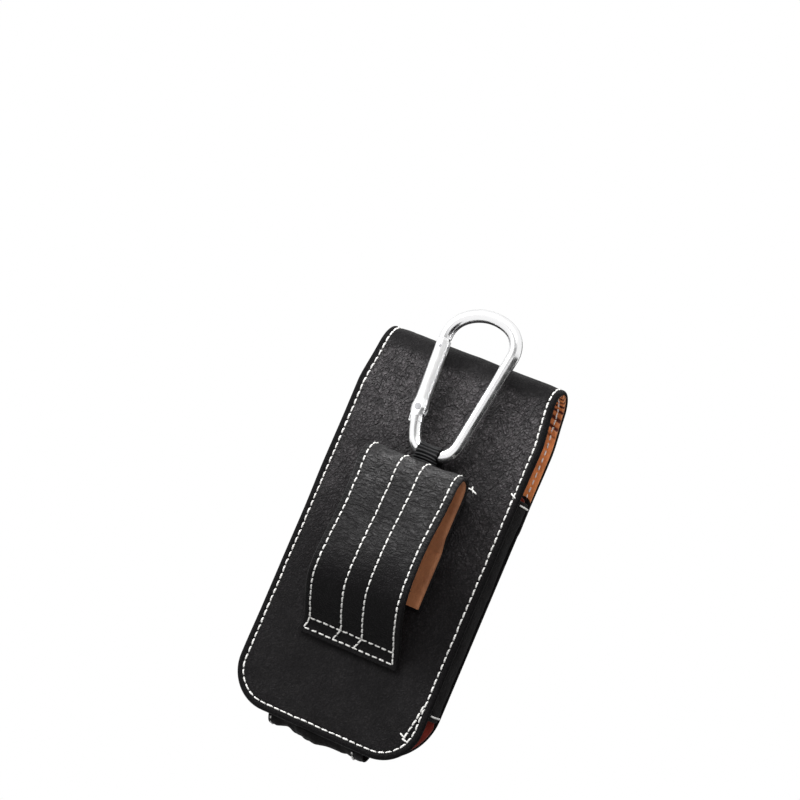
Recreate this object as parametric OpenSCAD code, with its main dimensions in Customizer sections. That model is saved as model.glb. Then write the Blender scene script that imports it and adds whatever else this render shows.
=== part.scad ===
// Belt holster for a phone: a tall leather pouch with a fold-over flap, open-cornered gussets,
// a wide leather belt loop on its back and a carabiner hung in a loop of ribbed webbing.
// Millimetres. +Z is up as worn, -Y is the side that faces the wearer, +X is that side's right.
// All heights are built from the bottom edge of the pouch; place() then puts the origin in the
// middle of the belt slot, where the holster hangs on its belt.

/* [Pouch] */
// Width of the back and front panels
panel_w = 87; // [78:1:98]
// Height from the bottom edge to the top of the fold
panel_h = 170; // [150:1:190]
// Depth over the back and front leathers
pouch_t = 16.5; // [14:0.5:22]
// Radius of the bottom corners
corner_r = 18; // [10:1:26]
// Thickness of the panel leather
leather_t = 1.4; // [1:0.1:2.2]
// Thickness of the lining
lining_t = 0.8; // [0.5:0.1:1.2]
// Thickness of the stiffener boards
board_t = 0.8; // [0.5:0.1:1.4]
// Height of the front panel
front_h = 124; // [100:1:135]

/* [Flap] */
// How far the flap laps down over the front panel
flap_over = 31.5; // [24:0.5:60]
// Diameter of the closing magnets
magnet_d = 14; // [10:1:18]

/* [Gussets] */
// Height at which the side gussets start
gusset_low = 26; // [20:1:40]
// Height at which the side gussets end
gusset_high = 120; // [90:1:130]
// Thickness of the gusset leather
gusset_t = 1.1; // [0.8:0.1:1.6]
// Width of the bottom strip
strip_w = 38; // [26:1:48]

/* [Belt loop] */
// Width of the belt loop
loop_w = 45.5; // [36:0.5:56]
// Height of the top of the loop
loop_top = 119.5; // [110:0.5:126]
// Height of the loop's sewn lower edge
loop_foot = 36.5; // [28:0.5:44]
// How far the loop stands off the panel at its fullest
loop_bulge = 23.3; // [18:0.1:28]
// Thickness of the loop leather
strap_t = 1.6; // [1.2:0.1:2.2]

/* [Webbing] */
// Width of the webbing
web_w = 11; // [9:0.2:12]
// Thickness of the webbing
web_t = 1.4; // [1:0.1:1.8]

/* [Carabiner] */
// Diameter of the bent rod
rod_d = 5.5; // [4.6:0.1:6]
// Diameter of the gate tube
gate_d = 6.1; // [5.2:0.1:6.8]
// Length of the straight spine
spine_l = 42.1; // [38:0.1:48]
// Bend radius of the top bow
bow_r = 19.5; // [17:0.5:24]
// Bend radius of the shoulder beside the gate
shoulder_r = 12.5; // [10:0.5:15]
// Bend radius of the shoulder above the spine
corner_top_r = 10.5; // [8:0.5:13]
// Straight length of the lower bar
bar_l = 3; // [2:0.1:8]
// Bend radius between the spine and the lower bar
heel_r = 9; // [8:0.1:11]
// Bend radius between the lower bar and the short arm
toe_r = 8; // [7.5:0.1:10]

/* [Hidden] */

// Running clearance of the pivot, side clearance of moving flat faces, gap between soft bodies
run_c = 0.05;
side_c = 0.2;
soft_gap = 0.4;

// Depth of each layer, from the back face at 0
seat_b = leather_t + lining_t;
pocket_b = seat_b + board_t;
front_in = pouch_t - leather_t;
seat_f = front_in - lining_t;
pocket_f = seat_f - board_t;
flap_in = pouch_t + soft_gap;
fold_ro = (flap_in + lining_t + leather_t) / 2;
fold_z = panel_h - fold_ro;
flap_low = front_h - flap_over;
// Angle round the fold, from the back face, at which the flap starts to bend
bend_a = 60;
margin = 9;
waist = 2.6;
waist_r = 140;
top_r = 5;
dip_r = 200;
dip = 4;
edge_in = 1;

slot_y = -11.5;
slot_z = loop_foot + 46;

// Loop and webbing
tail_t = 2 * web_t;
leg_y = -tail_t - 0.1;
loop_in = 1;
loop_r = 7.7;
loop_cy = leg_y - loop_r;
loop_cz = loop_top - loop_r;
eye_z = loop_top + 4.5;
// Inside radius of the webbing's eye at its middle
web_r = rod_d / 2 + 1;
eye_y = -(web_r + web_t + 0.3);

rod_r = rod_d / 2;
// The middle of the webbing and of the carabiner's lower bar, across the pouch
bar_x = 1.3;
gate_r = gate_d / 2;
blade_t = 2.2;
blade_r = 3.2;
// The blade is narrower under its eye, where the open gate's cheeks pass
blade_n = blade_r - 0.5;
neck = 4;
// Half the gate's width across its pivot, and the ring on the rod under it
knuckle_r = 3.65;
collar_r = 3.15;
collar_l = 2;
rivet_r = 0.9;
// The rivet's heads sit in shallow spot faces on the gate
head_r = 1.4;
head_t = 0.5;
head_in = 0.15;
pin_r = 0.7;
pin_c = 0.35;

// Points on an arc in the (y, z) section, from angle a to angle b
function arc(c, r, a, b, n) =
    [for (i = [0:n]) let (t = a + (b - a) * i / n) [c[0] + r * cos(t), c[1] + r * sin(t)]];

// A smooth curve through the given points
function bend(p, n) = concat([for (i = [0:len(p) - 2], k = [0:n - 1]) let (
        a = p[max(i - 1, 0)], b = p[i], c = p[i + 1], d = p[min(i + 2, len(p) - 1)], t = k / n)
    0.5 * ((2 * b) + (c - a) * t + (2 * a - 5 * b + 4 * c - d) * t * t
        + (3 * b - a - 3 * c + d) * t * t * t)], [p[len(p) - 1]]);

// The unit normal to the left of a path at point i
function left_of(p, i) = let (
    v = p[min(i + 1, len(p) - 1)] - p[max(i - 1, 0)]) [-v[1], v[0]] / norm(v);

// The layer between two distances from a path
module layer(p, d0, d1) polygon(concat(
    [for (i = [0:len(p) - 1]) p[i] + left_of(p, i) * d0],
    [for (i = [len(p) - 1:-1:0]) p[i] + left_of(p, i) * d1]));

// A (y, z) section drawn out along X, and an (x, z) outline drawn out from depth a to depth b
module wide(w) rotate([90, 0, 90]) linear_extrude(w, center = true) children();
module deep(a, b) translate([0, b, 0]) rotate([90, 0, 0]) linear_extrude(b - a) children();
module place() translate([0, -slot_y, -slot_z]) children();

// A panel's outline: round bottom corners of radius r, small top corners of radius q
module outline(w, z0, z1, r, q) {
    for (s = [-1, 1]) {
        translate([s * (w / 2 - r), z0 + r]) circle(r = r, $fn = 96);
        translate([s * (w / 2 - q), z1 - q]) circle(r = q, $fn = 48);
    }
    translate([-w / 2, z0 + r]) square([w, z1 - q - z0 - r]);
    translate([-w / 2 + r, z0]) square([w - 2 * r, r + 1]);
    translate([-w / 2 + q, z1 - q - 1]) square([w - 2 * q, q + 1]);
}

// The piece of leather that runs over the fold is cut a little narrower there
module waisted() difference() {
    children();
    for (s = [-1, 1]) translate([s * (panel_w / 2 - waist + waist_r), panel_h + 2])
        circle(r = waist_r, $fn = 240);
}

// The outer face of the pouch in section: up the back, over the fold
function back_path(z0) = concat([[0, z0], [0, fold_z - 4]], arc([fold_ro, fold_z], fold_ro, 180, 180 - bend_a, 12));
function flap_path(z1) = concat(arc([fold_ro, fold_z], fold_ro, 180 - bend_a - 1.8, 0, 20),
    [[2 * fold_ro, fold_z - 4], [2 * fold_ro, z1]]);

module back_layer(d0, d1) intersection() {
    wide(panel_w + 10) layer(back_path(-1), -d0, -d1);
    deep(-1, fold_ro * 2 + 1) waisted() outline(panel_w, 0, panel_h + 10, corner_r, 1);
}

module flap_layer(d0, d1) intersection() {
    wide(panel_w + 10) layer(flap_path(flap_low - 1), -d0, -d1);
    deep(-1, fold_ro * 2 + 1) waisted() outline(panel_w - 1, flap_low, panel_h + 10, corner_r, 1);
}

// A stiffener's outline; the lining over it is g larger all round
module board_outline(z1, g = 0) outline(panel_w - 2 * margin + 2 * g, margin - g, z1 + g, corner_r - margin / 2 + g, 4 + g);
board_back_h = fold_z - 8;
board_front_h = front_h - 6;
magnet_z = flap_low + magnet_d / 2 + margin;
magnet_t = 1.2;
flap_mag_y = flap_in + 0.3;

module back_leather() {
    color([0.09, 0.085, 0.085]) back_layer(0, leather_t);
}

module back_board() {
    color([0.45, 0.42, 0.38]) deep(leather_t, leather_t + board_t) board_outline(board_back_h);
}

module back_lining() {
    color([0.72, 0.38, 0.18]) difference() {
        union() {
            back_layer(leather_t, seat_b);
            deep(seat_b - 0.1, pocket_b) board_outline(board_back_h, lining_t);
        }
        deep(leather_t, leather_t + board_t) board_outline(board_back_h);
    }
}

module front_outline() difference() {
    outline(panel_w, 0, front_h, corner_r, top_r);
    translate([0, front_h - dip + dip_r]) circle(r = dip_r, $fn = 360);
}

module magnet_hole(d, y0, y1) translate([0, y1, magnet_z]) rotate([90, 0, 0])
    cylinder(d = d, h = y1 - y0, $fn = 64);

module front_leather() {
    color([0.09, 0.085, 0.085]) difference() {
        deep(front_in, pouch_t) front_outline();
        magnet_hole(magnet_d, front_in - 1, front_in - board_t + magnet_t);
    }
}

module front_board() {
    color([0.45, 0.42, 0.38]) difference() {
        deep(front_in - board_t, front_in) board_outline(board_front_h);
        magnet_hole(magnet_d, front_in - board_t - 1, front_in + 1);
    }
}

module front_lining() {
    color([0.3, 0.08, 0.06]) difference() {
        union() {
            deep(seat_f, front_in) front_outline();
            deep(pocket_f, seat_f + 0.1) board_outline(board_front_h, lining_t);
        }
        deep(front_in - board_t, front_in + 1) board_outline(board_front_h);
    }
}

module front_magnet() {
    color([0.6, 0.6, 0.62]) magnet_hole(magnet_d, front_in - board_t, front_in - board_t + magnet_t);
}

module flap_leather() {
    color([0.09, 0.085, 0.085]) difference() {
        flap_layer(0, leather_t);
        magnet_hole(magnet_d, flap_in - 1, flap_mag_y + magnet_t);
    }
}

module flap_lining() {
    color([0.72, 0.38, 0.18]) difference() {
        flap_layer(leather_t, seat_b);
        magnet_hole(magnet_d, flap_mag_y, flap_mag_y + magnet_t);
    }
}

module flap_magnet() {
    color([0.6, 0.6, 0.62]) magnet_hole(magnet_d, flap_mag_y, flap_mag_y + magnet_t);
}

// A gusset's channel section: two sewn flanges and a web bowed out by b. The mouth is at x = 0
module channel(len, b, t) {
    h = (seat_f - seat_b) / 2;
    r = (h * h + b * b) / (2 * b);
    translate([0, (seat_f + seat_b) / 2]) difference() {
        intersection() {
            translate([len + b - r, 0]) circle(r = r, $fn = 180);
            translate([0, -h]) square([len + b + 1, 2 * h]);
        }
        intersection() {
            translate([len + b - r, 0]) circle(r = r - t, $fn = 180);
            translate([-1, -h + gusset_t]) square([len + b + 2, 2 * (h - gusset_t)]);
        }
    }
}

flange = 6;
hem = 6;
side_bow = 1.3;
strip_bow = 3.2;

module side_gusset() {
    translate([panel_w / 2 - edge_in - flange, 0, gusset_low]) {
        linear_extrude(gusset_high - gusset_low) channel(flange, side_bow, gusset_t);
        for (z = [0, gusset_high - gusset_low - hem]) translate([0, 0, z])
            linear_extrude(hem) channel(flange, side_bow, 2 * gusset_t);
    }
}

module gusset_right() {
    color([0.1, 0.095, 0.095]) side_gusset();
}

module gusset_left() {
    color([0.1, 0.095, 0.095]) mirror([1, 0, 0]) side_gusset();
}

module gusset_bottom() {
    color([0.1, 0.095, 0.095]) translate([-strip_w / 2, 0, flange + edge_in]) rotate([0, 90, 0]) {
        linear_extrude(strip_w) channel(flange, strip_bow, gusset_t);
        for (z = [0, strip_w / 2 - hem / 2, strip_w - hem]) translate([0, 0, z])
            linear_extrude(hem) channel(flange, strip_bow, 2 * gusset_t);
    }
}

// The loop's outer face in section: up the back leg, over its top, down the full front leg
loop_path = concat(
    [[0, slot_z - 20], [0, slot_z + 4]],
    bend([[0, slot_z + 6], [leg_y / 2, slot_z + 9], [leg_y, slot_z + 12]], 4),
    arc([loop_cy, loop_cz], loop_r, 0, 180, 24),
    bend([[loop_cy - loop_r, loop_cz - 2], [loop_cy - loop_r, loop_cz - 9],
        [-loop_bulge + 3.2, slot_z + 4.5], [-loop_bulge, slot_z - 11], [-loop_bulge + 2.9, slot_z - 20],
        [-loop_bulge * 0.6, slot_z - 25.6], [-loop_bulge * 0.3, loop_foot + 14.4],
        [-strap_t - loop_in - 0.7, loop_foot + 8.6], [-strap_t - loop_in, loop_foot + 4.5]], 5),
    [[-strap_t - loop_in, loop_foot]]);

module loop_leather() {
    color([0.09, 0.085, 0.085]) wide(loop_w) layer(loop_path, 0, strap_t);
}

module loop_lining() {
    color([0.62, 0.4, 0.25]) wide(loop_w - 0.6) layer(loop_path, strap_t, strap_t + loop_in);
}

// The webbing wraps the rod, its front ply lies on the loop's round top, and both ends run down
// flat behind the belt loop
ply_gap = 0.02;
lie_r = loop_r + web_t + 0.15;
lie_a = acos((-web_t - ply_gap - loop_cy) / lie_r);
web_path = concat([[-web_t, slot_z + 14]],
    bend([[-web_t, eye_z - 10], [-web_t - 0.05, eye_z - 5], [eye_y + web_r, eye_z - 1.2]], 4),
    arc([eye_y, eye_z], web_r, 0, 205, 22),
    arc([loop_cy, loop_cz], lie_r, 64, lie_a, 14),
    [[-web_t - ply_gap, slot_z + 14]]);

// The rod bends upward at both edges of the webbing, so the eye opens there like a saddle. rise() is
// how far the rod's inner side stands over the bar at distance d into a bend of radius r
function rise(r, d) = r - sqrt(max(pow(r - rod_r, 2) - d * d, 0.01));
web_flare = max(rise(toe_r, (web_w - bar_l) / 2), rise(heel_r, (web_w - bar_l) / 2), web_r) + 0.3 - web_r;
function ease(t) = let (u = max(0, min(1, t))) u * u * (3 - 2 * u);
// How much of the opening each row of the path takes: none at the back, all over the top and the front
web_open = concat([for (i = [0:9]) 0], [for (i = [0:22]) ease((205 * i / 22 - 12) / 43)], [for (i = [0:15]) 0]);
web_cols = [for (c = [-1, -0.84, -0.64, -0.32, 0.32, 0.64, 0.84, 1]) c * web_w / 2];

module webbing_loop() {
    m = len(web_cols);
    n = len(web_path);
    function spot(i, j, d) = let (
        q = web_path[i] - left_of(web_path, i) * (d + web_open[i] * web_flare * pow(abs(2 * web_cols[j] / web_w), 3)))
        [bar_x + web_cols[j], q[0], q[1]];
    function k(side, i, j) = (side * n + i) * m + j;
    color([0.07, 0.07, 0.075]) polyhedron(
        points = [for (d = [0, web_t], i = [0:n - 1], j = [0:m - 1]) spot(i, j, d)],
        faces = concat(
            [for (i = [0:n - 2], j = [0:m - 2]) [k(0, i, j), k(0, i, j + 1), k(0, i + 1, j + 1), k(0, i + 1, j)]],
            [for (i = [0:n - 2], j = [0:m - 2]) [k(1, i, j), k(1, i + 1, j), k(1, i + 1, j + 1), k(1, i, j + 1)]],
            [for (i = [0:n - 2]) [k(0, i, 0), k(0, i + 1, 0), k(1, i + 1, 0), k(1, i, 0)]],
            [for (i = [0:n - 2]) [k(0, i, m - 1), k(1, i, m - 1), k(1, i + 1, m - 1), k(0, i + 1, m - 1)]],
            [for (j = [0:m - 2]) [k(0, 0, j), k(1, 0, j), k(1, 0, j + 1), k(0, 0, j + 1)]],
            [for (j = [0:m - 2]) [k(0, n - 1, j), k(0, n - 1, j + 1), k(1, n - 1, j + 1), k(1, n - 1, j)]]));
}

// The carabiner lies in its own plane: local x = X, local y = Z, thickness along Y.
// Each leg of the rod is [bend radius, degrees turned] or [0, length], walked from the nose.
arm_r = 29;
nose_a = 94.3;
// Degrees turned at the shoulder, the bow, the corner above the spine, the toe and the short arm.
// The heel turns what is left, so that the lower bar lies along X
shoulder_a = 56.8;
bow_a = 60;
corner_a = 76.5;
toe_a = 63.6;
arm_a = 17.2;
heel_a = nose_a + 180 - shoulder_a - bow_a - corner_a;
rod_legs = [[shoulder_r, shoulder_a], [bow_r, bow_a], [corner_top_r, corner_a], [0, spine_l],
    [heel_r, heel_a], [0, bar_l], [toe_r, toe_a], [arm_r, arm_a]];

function walk(s, leg) = leg[0] == 0
    ? [s[0] + leg[1] * cos(s[2]), s[1] + leg[1] * sin(s[2]), s[2]]
    : let (c = centre(s, leg[0]), h = s[2] - leg[1]) [c[0] - leg[0] * sin(h), c[1] + leg[0] * cos(h), h];
function centre(s, r) = [s[0] + r * sin(s[2]), s[1] - r * cos(s[2])];
function raw(i) = i == 0 ? [0, 0, nose_a] : walk(raw(i - 1), rod_legs[i - 1]);
// The lower bar lies on the swing axis
bar = raw(5);
function state(i) = raw(i) + [bar_x + bar_l / 2 - bar[0], -bar[1], 0];

// Every second leg is thinner by a hair and runs a little way into its neighbours, so that each
// joint is a clean step and not two curved skins that only just touch
lap = 0.3;
hair = 0.02;
module rod_leg(i) {
    s = state(i);
    leg = rod_legs[i];
    thin = i % 2;
    r = rod_r - thin * hair;
    e0 = thin * lap;
    e1 = i < len(rod_legs) - 1 ? thin * lap : 0;
    if (leg[0] == 0)
        translate([s[0], s[1], 0]) rotate([0, 0, s[2]]) rotate([0, 90, 0]) translate([0, 0, -e0])
            cylinder(r = r, h = leg[1] + e0 + e1, $fn = 48);
    else {
        deg = 180 / PI / leg[0];
        translate([centre(s, leg[0])[0], centre(s, leg[0])[1], 0])
            rotate([0, 0, s[2] + 90 - leg[1] - e1 * deg])
                rotate_extrude(angle = leg[1] + (e0 + e1) * deg, $fn = 96)
                    translate([leg[0], 0]) circle(r = r, $fn = 48);
    }
}

rod_end = state(len(rod_legs));
nose = state(0);
// The pivot sits past the rod's squared end, and the gate runs from it to the nose
pivot = [rod_end[0] + neck * cos(rod_end[2]), rod_end[1] + neck * sin(rod_end[2])];
reach = norm([nose[0] - pivot[0], nose[1] - pivot[1]]);
gate_a = atan2(nose[1] - pivot[1], nose[0] - pivot[0]) - 90;
gate_gap = 0.8;
gate_l = reach - gate_gap;
// Distance of the latch pin from the gate's tip, and how far the nose blade reaches into the gate
pin_in = 3;
nose_in = pin_in + 2.2;
nose_w = 4.6;
nose_off = 0.1;
hole_l = 14;

module flat_on() translate([0, eye_y, eye_z]) rotate([90, 0, 0]) children();
module at_pivot() flat_on() translate([pivot[0], pivot[1], 0]) rotate([0, 0, gate_a]) children();

// A slab of thickness t, centred on the carabiner's plane
module slab(t) linear_extrude(t, center = true) children();

module carabiner_frame() {
    color([0.8, 0.81, 0.83]) {
        flat_on() for (i = [0:len(rod_legs) - 1]) rod_leg(i);
        flat_on() translate([rod_end[0], rod_end[1], 0]) rotate([0, 0, rod_end[2]]) rotate([0, -90, 0])
            cylinder(r = collar_r, h = collar_l, $fn = 64);
        at_pivot() difference() {
            slab(blade_t) union() {
                circle(r = blade_r, $fn = 64);
                polygon([[-blade_n, 0], [-blade_n, -neck + 0.4], [-rod_r + 0.3, -neck - 2.6],
                    [rod_r - 0.3, -neck - 2.6], [blade_n, -neck + 0.4], [blade_n, 0]]);
            }
            cylinder(r = rivet_r + run_c, h = 2 * blade_t, center = true, $fn = 48);
        }
        at_pivot() slab(blade_t) difference() {
            translate([-nose_w / 2 - nose_off, gate_l - nose_in])
                square([nose_w, nose_in + gate_gap + rod_r / 4]);
            translate([0, gate_l - pin_in]) circle(r = pin_r + pin_c, $fn = 32);
            translate([0, gate_l - pin_in - pin_r - pin_c]) square([nose_w, 2 * (pin_r + pin_c)]);
        }
    }
}

module gate_tube() {
    color([0.82, 0.83, 0.85]) at_pivot() difference() {
        union() {
            rotate([-90, 0, 0]) cylinder(r = gate_r, h = gate_l, $fn = 64);
            // Two flat cheeks, widest at the pivot
            intersection() {
                rotate([-90, 0, 0]) union() {
                    intersection() {
                        translate([0, 0, -neck]) cylinder(r1 = collar_r, r2 = knuckle_r, h = neck, $fn = 64);
                        rotate([90, 0, 0]) cylinder(r = neck - side_c, h = 2 * gate_d, center = true, $fn = 96);
                    }
                    translate([0, 0, -0.01]) cylinder(r1 = knuckle_r, r2 = gate_r - 0.1, h = 4.5, $fn = 64);
                }
                slab(2 * gate_r + 0.2) square(4 * gate_d, center = true);
            }
        }
        slab(blade_t + 2 * side_c) {
            translate([-gate_d, -gate_d]) square([2 * gate_d, gate_d]);
            circle(r = blade_r + side_c, $fn = 64);
            translate([-gate_d, gate_l - nose_in - 3 * side_c]) square([2 * gate_d, gate_d + nose_in]);
        }
        rotate([-90, 0, 0]) cylinder(r = plunger_r + 0.1, h = hole_l, $fn = 48);
        cylinder(r = rivet_r, h = 2 * gate_d, center = true, $fn = 48);
        translate([0, gate_l - pin_in, 0]) cylinder(r = pin_r, h = 2 * gate_d, center = true, $fn = 32);
        for (s = [-1, 1]) translate([0, 0, s * (gate_r - head_in + 1)])
            cylinder(r = head_r + run_c, h = 2, center = true, $fn = 48);
    }
}

module gate_rivet() {
    color([0.72, 0.72, 0.74]) at_pivot() {
        cylinder(r = rivet_r, h = gate_d + 0.5, center = true, $fn = 48);
        for (s = [-1, 1]) translate([0, 0, s * (gate_r - head_in + head_t / 2)])
            cylinder(r = head_r, h = head_t, center = true, $fn = 48);
    }
}

module latch_pin() {
    color([0.7, 0.7, 0.72]) at_pivot() translate([0, gate_l - pin_in, 0])
        cylinder(r = pin_r, h = gate_d - 0.3, center = true, $fn = 32);
}

// A wire wound as a helix along +Y of the gate
module coil(r, wire, turns, len) {
    n = 14;
    k = 6;
    ring = [for (i = [0:turns * n]) let (a = i * 360 / n, y = wire + (len - 2 * wire) * i / (turns * n))
        for (j = [0:k - 1]) let (b = j * 360 / k)
            [(r + wire * cos(b)) * cos(a), y + wire * sin(b), (r + wire * cos(b)) * sin(a)]];
    m = turns * n;
    polyhedron(points = ring, faces = concat(
        [[for (j = [0:k - 1]) j]], [[for (j = [k - 1:-1:0]) m * k + j]],
        [for (i = [0:m - 1], j = [0:k - 1]) let (j2 = (j + 1) % k)
            [i * k + j, (i + 1) * k + j, (i + 1) * k + j2, i * k + j2]]));
}

plunger_l = 4;
plunger_r = 1.5;
wire_r = 0.25;
seat_c = 0.1;
module gate_spring() {
    color([0.6, 0.6, 0.6]) at_pivot() translate([0, blade_r + plunger_l + seat_c, 0])
        coil(plunger_r - wire_r - seat_c, wire_r, 6, hole_l - blade_r - plunger_l - seat_c);
}

module gate_plunger() {
    color([0.65, 0.6, 0.5]) at_pivot() translate([0, blade_r + seat_c, 0]) rotate([-90, 0, 0])
        cylinder(r = plunger_r, h = plunger_l, $fn = 48);
}

place() back_leather();
place() back_board();
place() back_lining();
place() front_leather();
place() front_board();
place() front_lining();
place() front_magnet();
place() gusset_left();
place() gusset_right();
place() gusset_bottom();
place() flap_leather();
place() flap_lining();
place() flap_magnet();
place() loop_leather();
place() loop_lining();
place() webbing_loop();
place() carabiner_frame();
place() gate_tube();
place() gate_rivet();
place() latch_pin();
place() gate_spring();
place() gate_plunger();
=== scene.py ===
# %% [markdown]
# # A leather phone holster with a carabiner
# The object is a tall pouch of black leather, drawn from the side that lies against the wearer.
# A wide belt loop is sewn to its back, and a polished carabiner hangs above it in ribbed webbing.
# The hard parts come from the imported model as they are. The soft parts are built again here,
# because leather, lining and thread have thickness, puckers and creases that flat plates lack.

# %% Set up
import bpy
import math
import numpy as np
from mathutils import Vector, Matrix, kdtree


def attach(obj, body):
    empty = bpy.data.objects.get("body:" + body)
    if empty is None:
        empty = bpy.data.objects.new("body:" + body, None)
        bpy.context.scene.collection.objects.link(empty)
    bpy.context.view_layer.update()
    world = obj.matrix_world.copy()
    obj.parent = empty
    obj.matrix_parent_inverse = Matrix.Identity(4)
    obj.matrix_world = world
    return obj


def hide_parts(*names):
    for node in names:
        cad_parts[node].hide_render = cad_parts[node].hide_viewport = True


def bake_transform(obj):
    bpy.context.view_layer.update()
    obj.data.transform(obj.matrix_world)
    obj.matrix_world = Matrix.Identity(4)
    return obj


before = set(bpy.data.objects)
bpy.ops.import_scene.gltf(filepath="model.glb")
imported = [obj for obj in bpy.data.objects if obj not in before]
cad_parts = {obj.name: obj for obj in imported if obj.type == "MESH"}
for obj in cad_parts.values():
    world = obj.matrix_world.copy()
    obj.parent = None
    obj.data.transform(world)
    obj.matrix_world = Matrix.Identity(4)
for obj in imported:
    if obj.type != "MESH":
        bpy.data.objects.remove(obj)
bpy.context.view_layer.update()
print("hard parts loaded:", len(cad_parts))

# %% [markdown]
# ## Millimetres on the bench, metres in the scene
# The maker measures from the bottom edge of the pouch and from the back face of its leather.
# The frame has its origin in the middle of the belt slot, so one small function moves every
# point there. All shapes below are written in millimetres.

# %% Bench measure
SLOT = np.array([0.0, -11.5, 82.5])
PANEL_W, POUCH_T, FRONT_H = 87.0, 16.5, 124.0
CORNER, FRONT_CORNER, TOP_CORNER = 18.0, 25.0, 5.0
LEATHER, LINING = 1.4, 0.8
FOLD_R, FOLD_Z, FLAP_LOW = 9.55, 160.45, 92.5
SEAM_IN, PITCH, PIT, SEAM_BAND = 3.0, 3.3, 0.75, (1.4, 4.8)
ROLL_DEEP, ROLL_WIDE = 1.1, 1.15


def place(points):
    """Bench millimetres to frame metres"""
    return (np.asarray(points, float) - SLOT) / 1000.0


# %% [markdown]
# ## Noise that can be repeated
# Leather is never even. A grid of random numbers, read with a smooth blend between its points,
# gives slow waves for the outline and short ones for the creases. The seed is fixed, so that
# the same piece comes out each time.

# %% Smooth noise
def noise(x, y, seed, octaves=1):
    """Smooth random waves, mostly between -1 and 1, one wave to every two units or so"""
    x, y = np.broadcast_arrays(np.asarray(x, float), np.asarray(y, float))
    total, scale = np.zeros(x.shape), 1.0
    for k in range(octaves):
        table = np.random.default_rng(seed + 31 * k).uniform(-1, 1, (64, 64))
        xi, yi = np.floor(x).astype(int), np.floor(y).astype(int)
        fx, fy = x - xi, y - yi
        fx, fy = fx * fx * (3 - 2 * fx), fy * fy * (3 - 2 * fy)
        a, b = table[xi % 64, yi % 64], table[(xi + 1) % 64, yi % 64]
        c, d = table[xi % 64, (yi + 1) % 64], table[(xi + 1) % 64, (yi + 1) % 64]
        total = total + scale * ((a * (1 - fx) + b * fx) * (1 - fy) + (c * (1 - fx) + d * fx) * fy)
        x, y, scale = x * 2.03 + 7.7, y * 2.03 + 3.1, scale * 0.5
    return total


def step(x, low, high):
    """0 up to low, 1 from high, and a smooth slope between them"""
    t = np.clip((np.asarray(x, float) - low) / (high - low), 0, 1)
    return t * t * (3 - 2 * t)


def creases(x, y, seed, width=0.12):
    """1 on thin wandering lines, 0 between them"""
    return np.exp(-(noise(x, y, seed, 2) / width) ** 2)


def quarter_round(d, width):
    """The height of a quarter round: 0 at the edge, 1 from width inside it"""
    return np.sqrt(np.clip(1 - (1 - np.clip(d / width, 0, 1)) ** 2, 0, 1))


# %% [markdown]
# ## A sheet with two faces
# Every soft part is a sheet: a grid of middle points, a normal at each, and the height of its
# two faces above that middle. Where the heights come close together at the rim, the edge turns
# round as a folded leather edge does. The flat pattern is kept as the UV map, so that the
# grain runs with the hide and bends over the fold with it.

# %% Sheets
def make_object(name, mesh, material):
    obj = bpy.data.objects.new(name, mesh)
    bpy.context.scene.collection.objects.link(obj)
    if material is not None and not mesh.materials:
        mesh.materials.append(material)
    return obj


def sheet(name, middle, normal, high, low, flat, material, marks=None):
    """middle and normal hold three numbers for each point of the grid, the other arrays one each"""
    rows, cols = high.shape
    n = rows * cols
    verts = np.concatenate([(middle + normal * high[..., None]).reshape(-1, 3),
                            (middle + normal * low[..., None]).reshape(-1, 3)])
    i = np.arange(n).reshape(rows, cols)
    a, b, c, d = i[:-1, :-1], i[:-1, 1:], i[1:, 1:], i[1:, :-1]
    top = np.stack([a, b, c, d], -1).reshape(-1, 4)
    under = np.stack([a, d, c, b], -1).reshape(-1, 4) + n
    rim = np.concatenate([i[0, :-1], i[:-1, -1], i[-1, :0:-1], i[:0:-1, 0]])
    after = np.roll(rim, -1)
    faces = np.concatenate([top, under, np.stack([rim, rim + n, after + n, after], -1)])
    turn = np.cross(middle[1:-1, 2:] - middle[1:-1, :-2], middle[2:, 1:-1] - middle[:-2, 1:-1])
    if (turn * normal[1:-1, 1:-1]).sum() < 0:
        faces = faces[:, ::-1]
    mesh = bpy.data.meshes.new(name)
    mesh.from_pydata(place(verts).tolist(), [], faces.tolist())
    flat_xy = np.stack([flat[0].ravel(), flat[1].ravel()], -1) / 100.0
    flat_xy = np.concatenate([flat_xy, flat_xy])
    uv = mesh.uv_layers.new(name="UVMap")
    uv.data.foreach_set("uv", flat_xy[faces.ravel()].astype(np.float32).ravel())
    for key, (on_high, on_low) in (marks or {}).items():
        attribute = mesh.attributes.new(key, "FLOAT", "POINT")
        values = np.concatenate([np.broadcast_to(on_high, high.shape).ravel(),
                                 np.broadcast_to(on_low, high.shape).ravel()])
        attribute.data.foreach_set("value", values.astype(np.float32))
    mesh.polygons.foreach_set("use_smooth", [True] * len(mesh.polygons))
    mesh.update()
    return make_object(name, mesh, material)


def rim_steps(length, skip, coarse):
    """Distances along a length, close together near both ends, where every skip-th one is kept"""
    ends = np.array([0, 0.04, 0.15, 0.32, 0.55, 0.85, 1.2, 1.6, 2.0, 2.15,
                     2.5, 2.8, 3.1, 3.5, 4.0, 4.6, 5.4, 6.4, 7.5])[::skip]
    count = max(2, int(round((length - 2 * ends[-1]) / coarse)))
    middle = np.linspace(ends[-1], length - ends[-1], count + 1)[1:-1]
    return np.concatenate([ends, middle, length - ends[::-1]])


# %% [markdown]
# ## Finishes from nodes
# Each finish is built from noise and cell patterns, never from a picture. Small helpers keep
# the node work short: one adds a node and fills its sockets, one mixes two values.

# %% Node helpers
def link_or_set(tree, socket, value):
    if isinstance(value, bpy.types.NodeSocket):
        tree.links.new(value, socket)
    else:
        socket.default_value = value


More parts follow.
